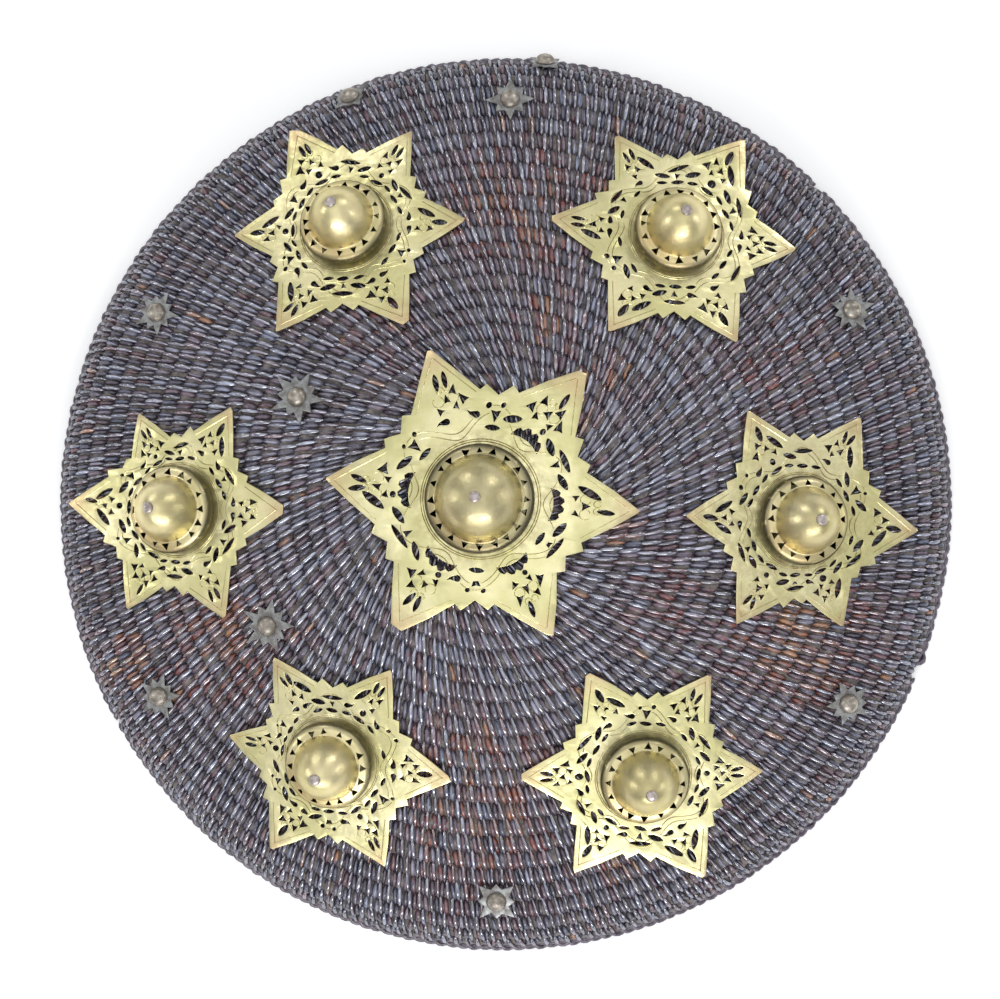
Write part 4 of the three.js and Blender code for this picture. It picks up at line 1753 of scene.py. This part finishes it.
def small_stars() -> list[SmallStar]:
    """The ten small stars: six near the edge, two inside and two on the rim."""
    edge = (13.5 * MM, 10.5 * MM, 7.4 * MM)
    inner = (16.5 * MM, 12 * MM, 8.4 * MM)
    rim = (11 * MM, 8 * MM, 7 * MM)
    rows = (
        ("top", 6.5, 220, 4, 90, edge),
        ("upper_left", -189, 103, 5, 60, edge),
        ("upper_right", 193, 102, 5, 20, edge),
        ("lower_left", -186.5, -108.5, 5, 75, edge),
        ("lower_right", 190, -112, 5, 40, edge),
        ("bottom", -1, -219.5, 4, 45, edge),
        ("inner_upper", -107, 53.5, 5, 62, inner),
        ("inner_lower", -123.5, -70, 5, 75, inner),
        ("rim_upper_left", -83, 223.5, 4, 45, rim),
        ("rim_top", 25, 243, 4, 45, rim),
    )
    return [
        SmallStar(place, x * MM, y * MM, *shape, seed=60 + i)
        for i, (place, x, y, *shape) in enumerate(rows)
    ]


@dataclass(frozen=True)
class Softbox:
    """A rectangular lamp that faces the shield."""

    name: str
    place: Colour
    size: Spot
    power: float

    def hang(self) -> None:
        """Hangs the lamp, turned to the shield's middle."""
        lamp = bpy.data.lights.new(self.name, "AREA")
        set_all(lamp, shape="RECTANGLE", size=self.size[0], size_y=self.size[1], energy=self.power)
        turn = (-Vector(self.place)).to_track_quat("-Z", "Y").to_euler()
        set_all(put_in(self.name, lamp), location=self.place, rotation_euler=turn)


@dataclass
class Studio:
    """The pale floor, the soft lamps and the camera straight over the shield."""

    floor_size: float = 8.0
    floor_height: float = -0.3 * MM
    sky: Colour = (0.97, 0.985, 1.0)
    sky_fade: tuple[Spot, ...] = ((0.0, 0.28), (0.5, 0.46), (0.80, 0.64), (0.90, 1.0), (1.0, 1.45))
    boxes: tuple[Softbox, ...] = (
        Softbox("softbox_upper_left", (-0.75, 1.30, 0.80), (0.42, 0.42), 3.0),
        Softbox("softbox_upper_right", (0.92, 1.18, 0.80), (0.42, 0.42), 3.2),
        Softbox("softbox_left", (-1.50, 0.05, 0.75), (0.42, 0.42), 3.0),
        Softbox("softbox_right", (1.60, 0.10, 0.55), (0.42, 0.42), 2.4),
        Softbox("softbox_bottom", (0.10, -1.45, 0.85), (1.30, 0.42), 14),
    )
    target: Colour = (0, 0, 20 * MM)
    distance: float = 1.6
    lean: Spot = (3.5, -2.8)
    lens: float = 104.1
    sensor: float = 36.0

    def floor(self) -> None:
        """A wide white floor, just under the rim."""
        at = (0, 0, self.floor_height)
        ground = added(bpy.ops.mesh.primitive_plane_add, size=self.floor_size, location=at)
        ground.name = "floor"
        with editing(ground):
            bpy.ops.mesh.subdivide(number_cuts=4)
        ground.data.materials.append(FloorFinish().material())

    def light(self) -> None:
        """A pale surround that brightens overhead, and the lamps."""
        world = bpy.data.worlds.new("surround")
        surround = Sketch(world, "Background")
        place = surround.node("TexCoord").outputs["Generated"]
        height = surround.node("SeparateXYZ", place).outputs["Z"]
        fade = surround.ramp(height, [(at, (strength,) * 3) for at, strength in self.sky_fade])
        surround.set(Color=self.sky, Strength=fade)
        bpy.context.scene.world = world
        for box in self.boxes:
            box.hang()
        bpy.context.scene.view_settings.view_transform = "Standard"

    def camera(self) -> None:
        """The camera, a little off the shield's axis."""
        across, up = (math.sin(math.radians(angle)) for angle in self.lean)
        back = Vector((across, up, math.sqrt(1 - across**2 - up**2)))
        right = Vector((0, 1, 0)).cross(back).normalized()
        turn = Matrix((right, back.cross(right), back)).transposed().to_4x4()
        data = bpy.data.cameras.new("camera")
        set_all(data, lens=self.lens, sensor_width=self.sensor)
        data.dof.use_dof = False
        eye = put_in("camera", data)
        eye.matrix_world = Matrix.Translation(Vector(self.target) + self.distance * back) @ turn
        bpy.context.scene.camera = eye

    def build(self) -> None:
        """Sets up the camera, the floor and the light."""
        self.camera()
        self.floor()
        self.light()


def main() -> None:
    """Builds the studio and the shield over its solids."""
    logging.basicConfig(level=logging.INFO, format="%(name)s: %(message)s")
    LOG.info("%d solids to dress", len(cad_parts))
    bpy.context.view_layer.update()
    Studio().build()
    stars = brass_stars()
    covers = [star.cover() for star in stars]
    for part in (RattanBody(covers), RimPlait(), *stars, *small_stars()):
        part.build()
    clear_selection()


if __name__ == "__main__":
    main()
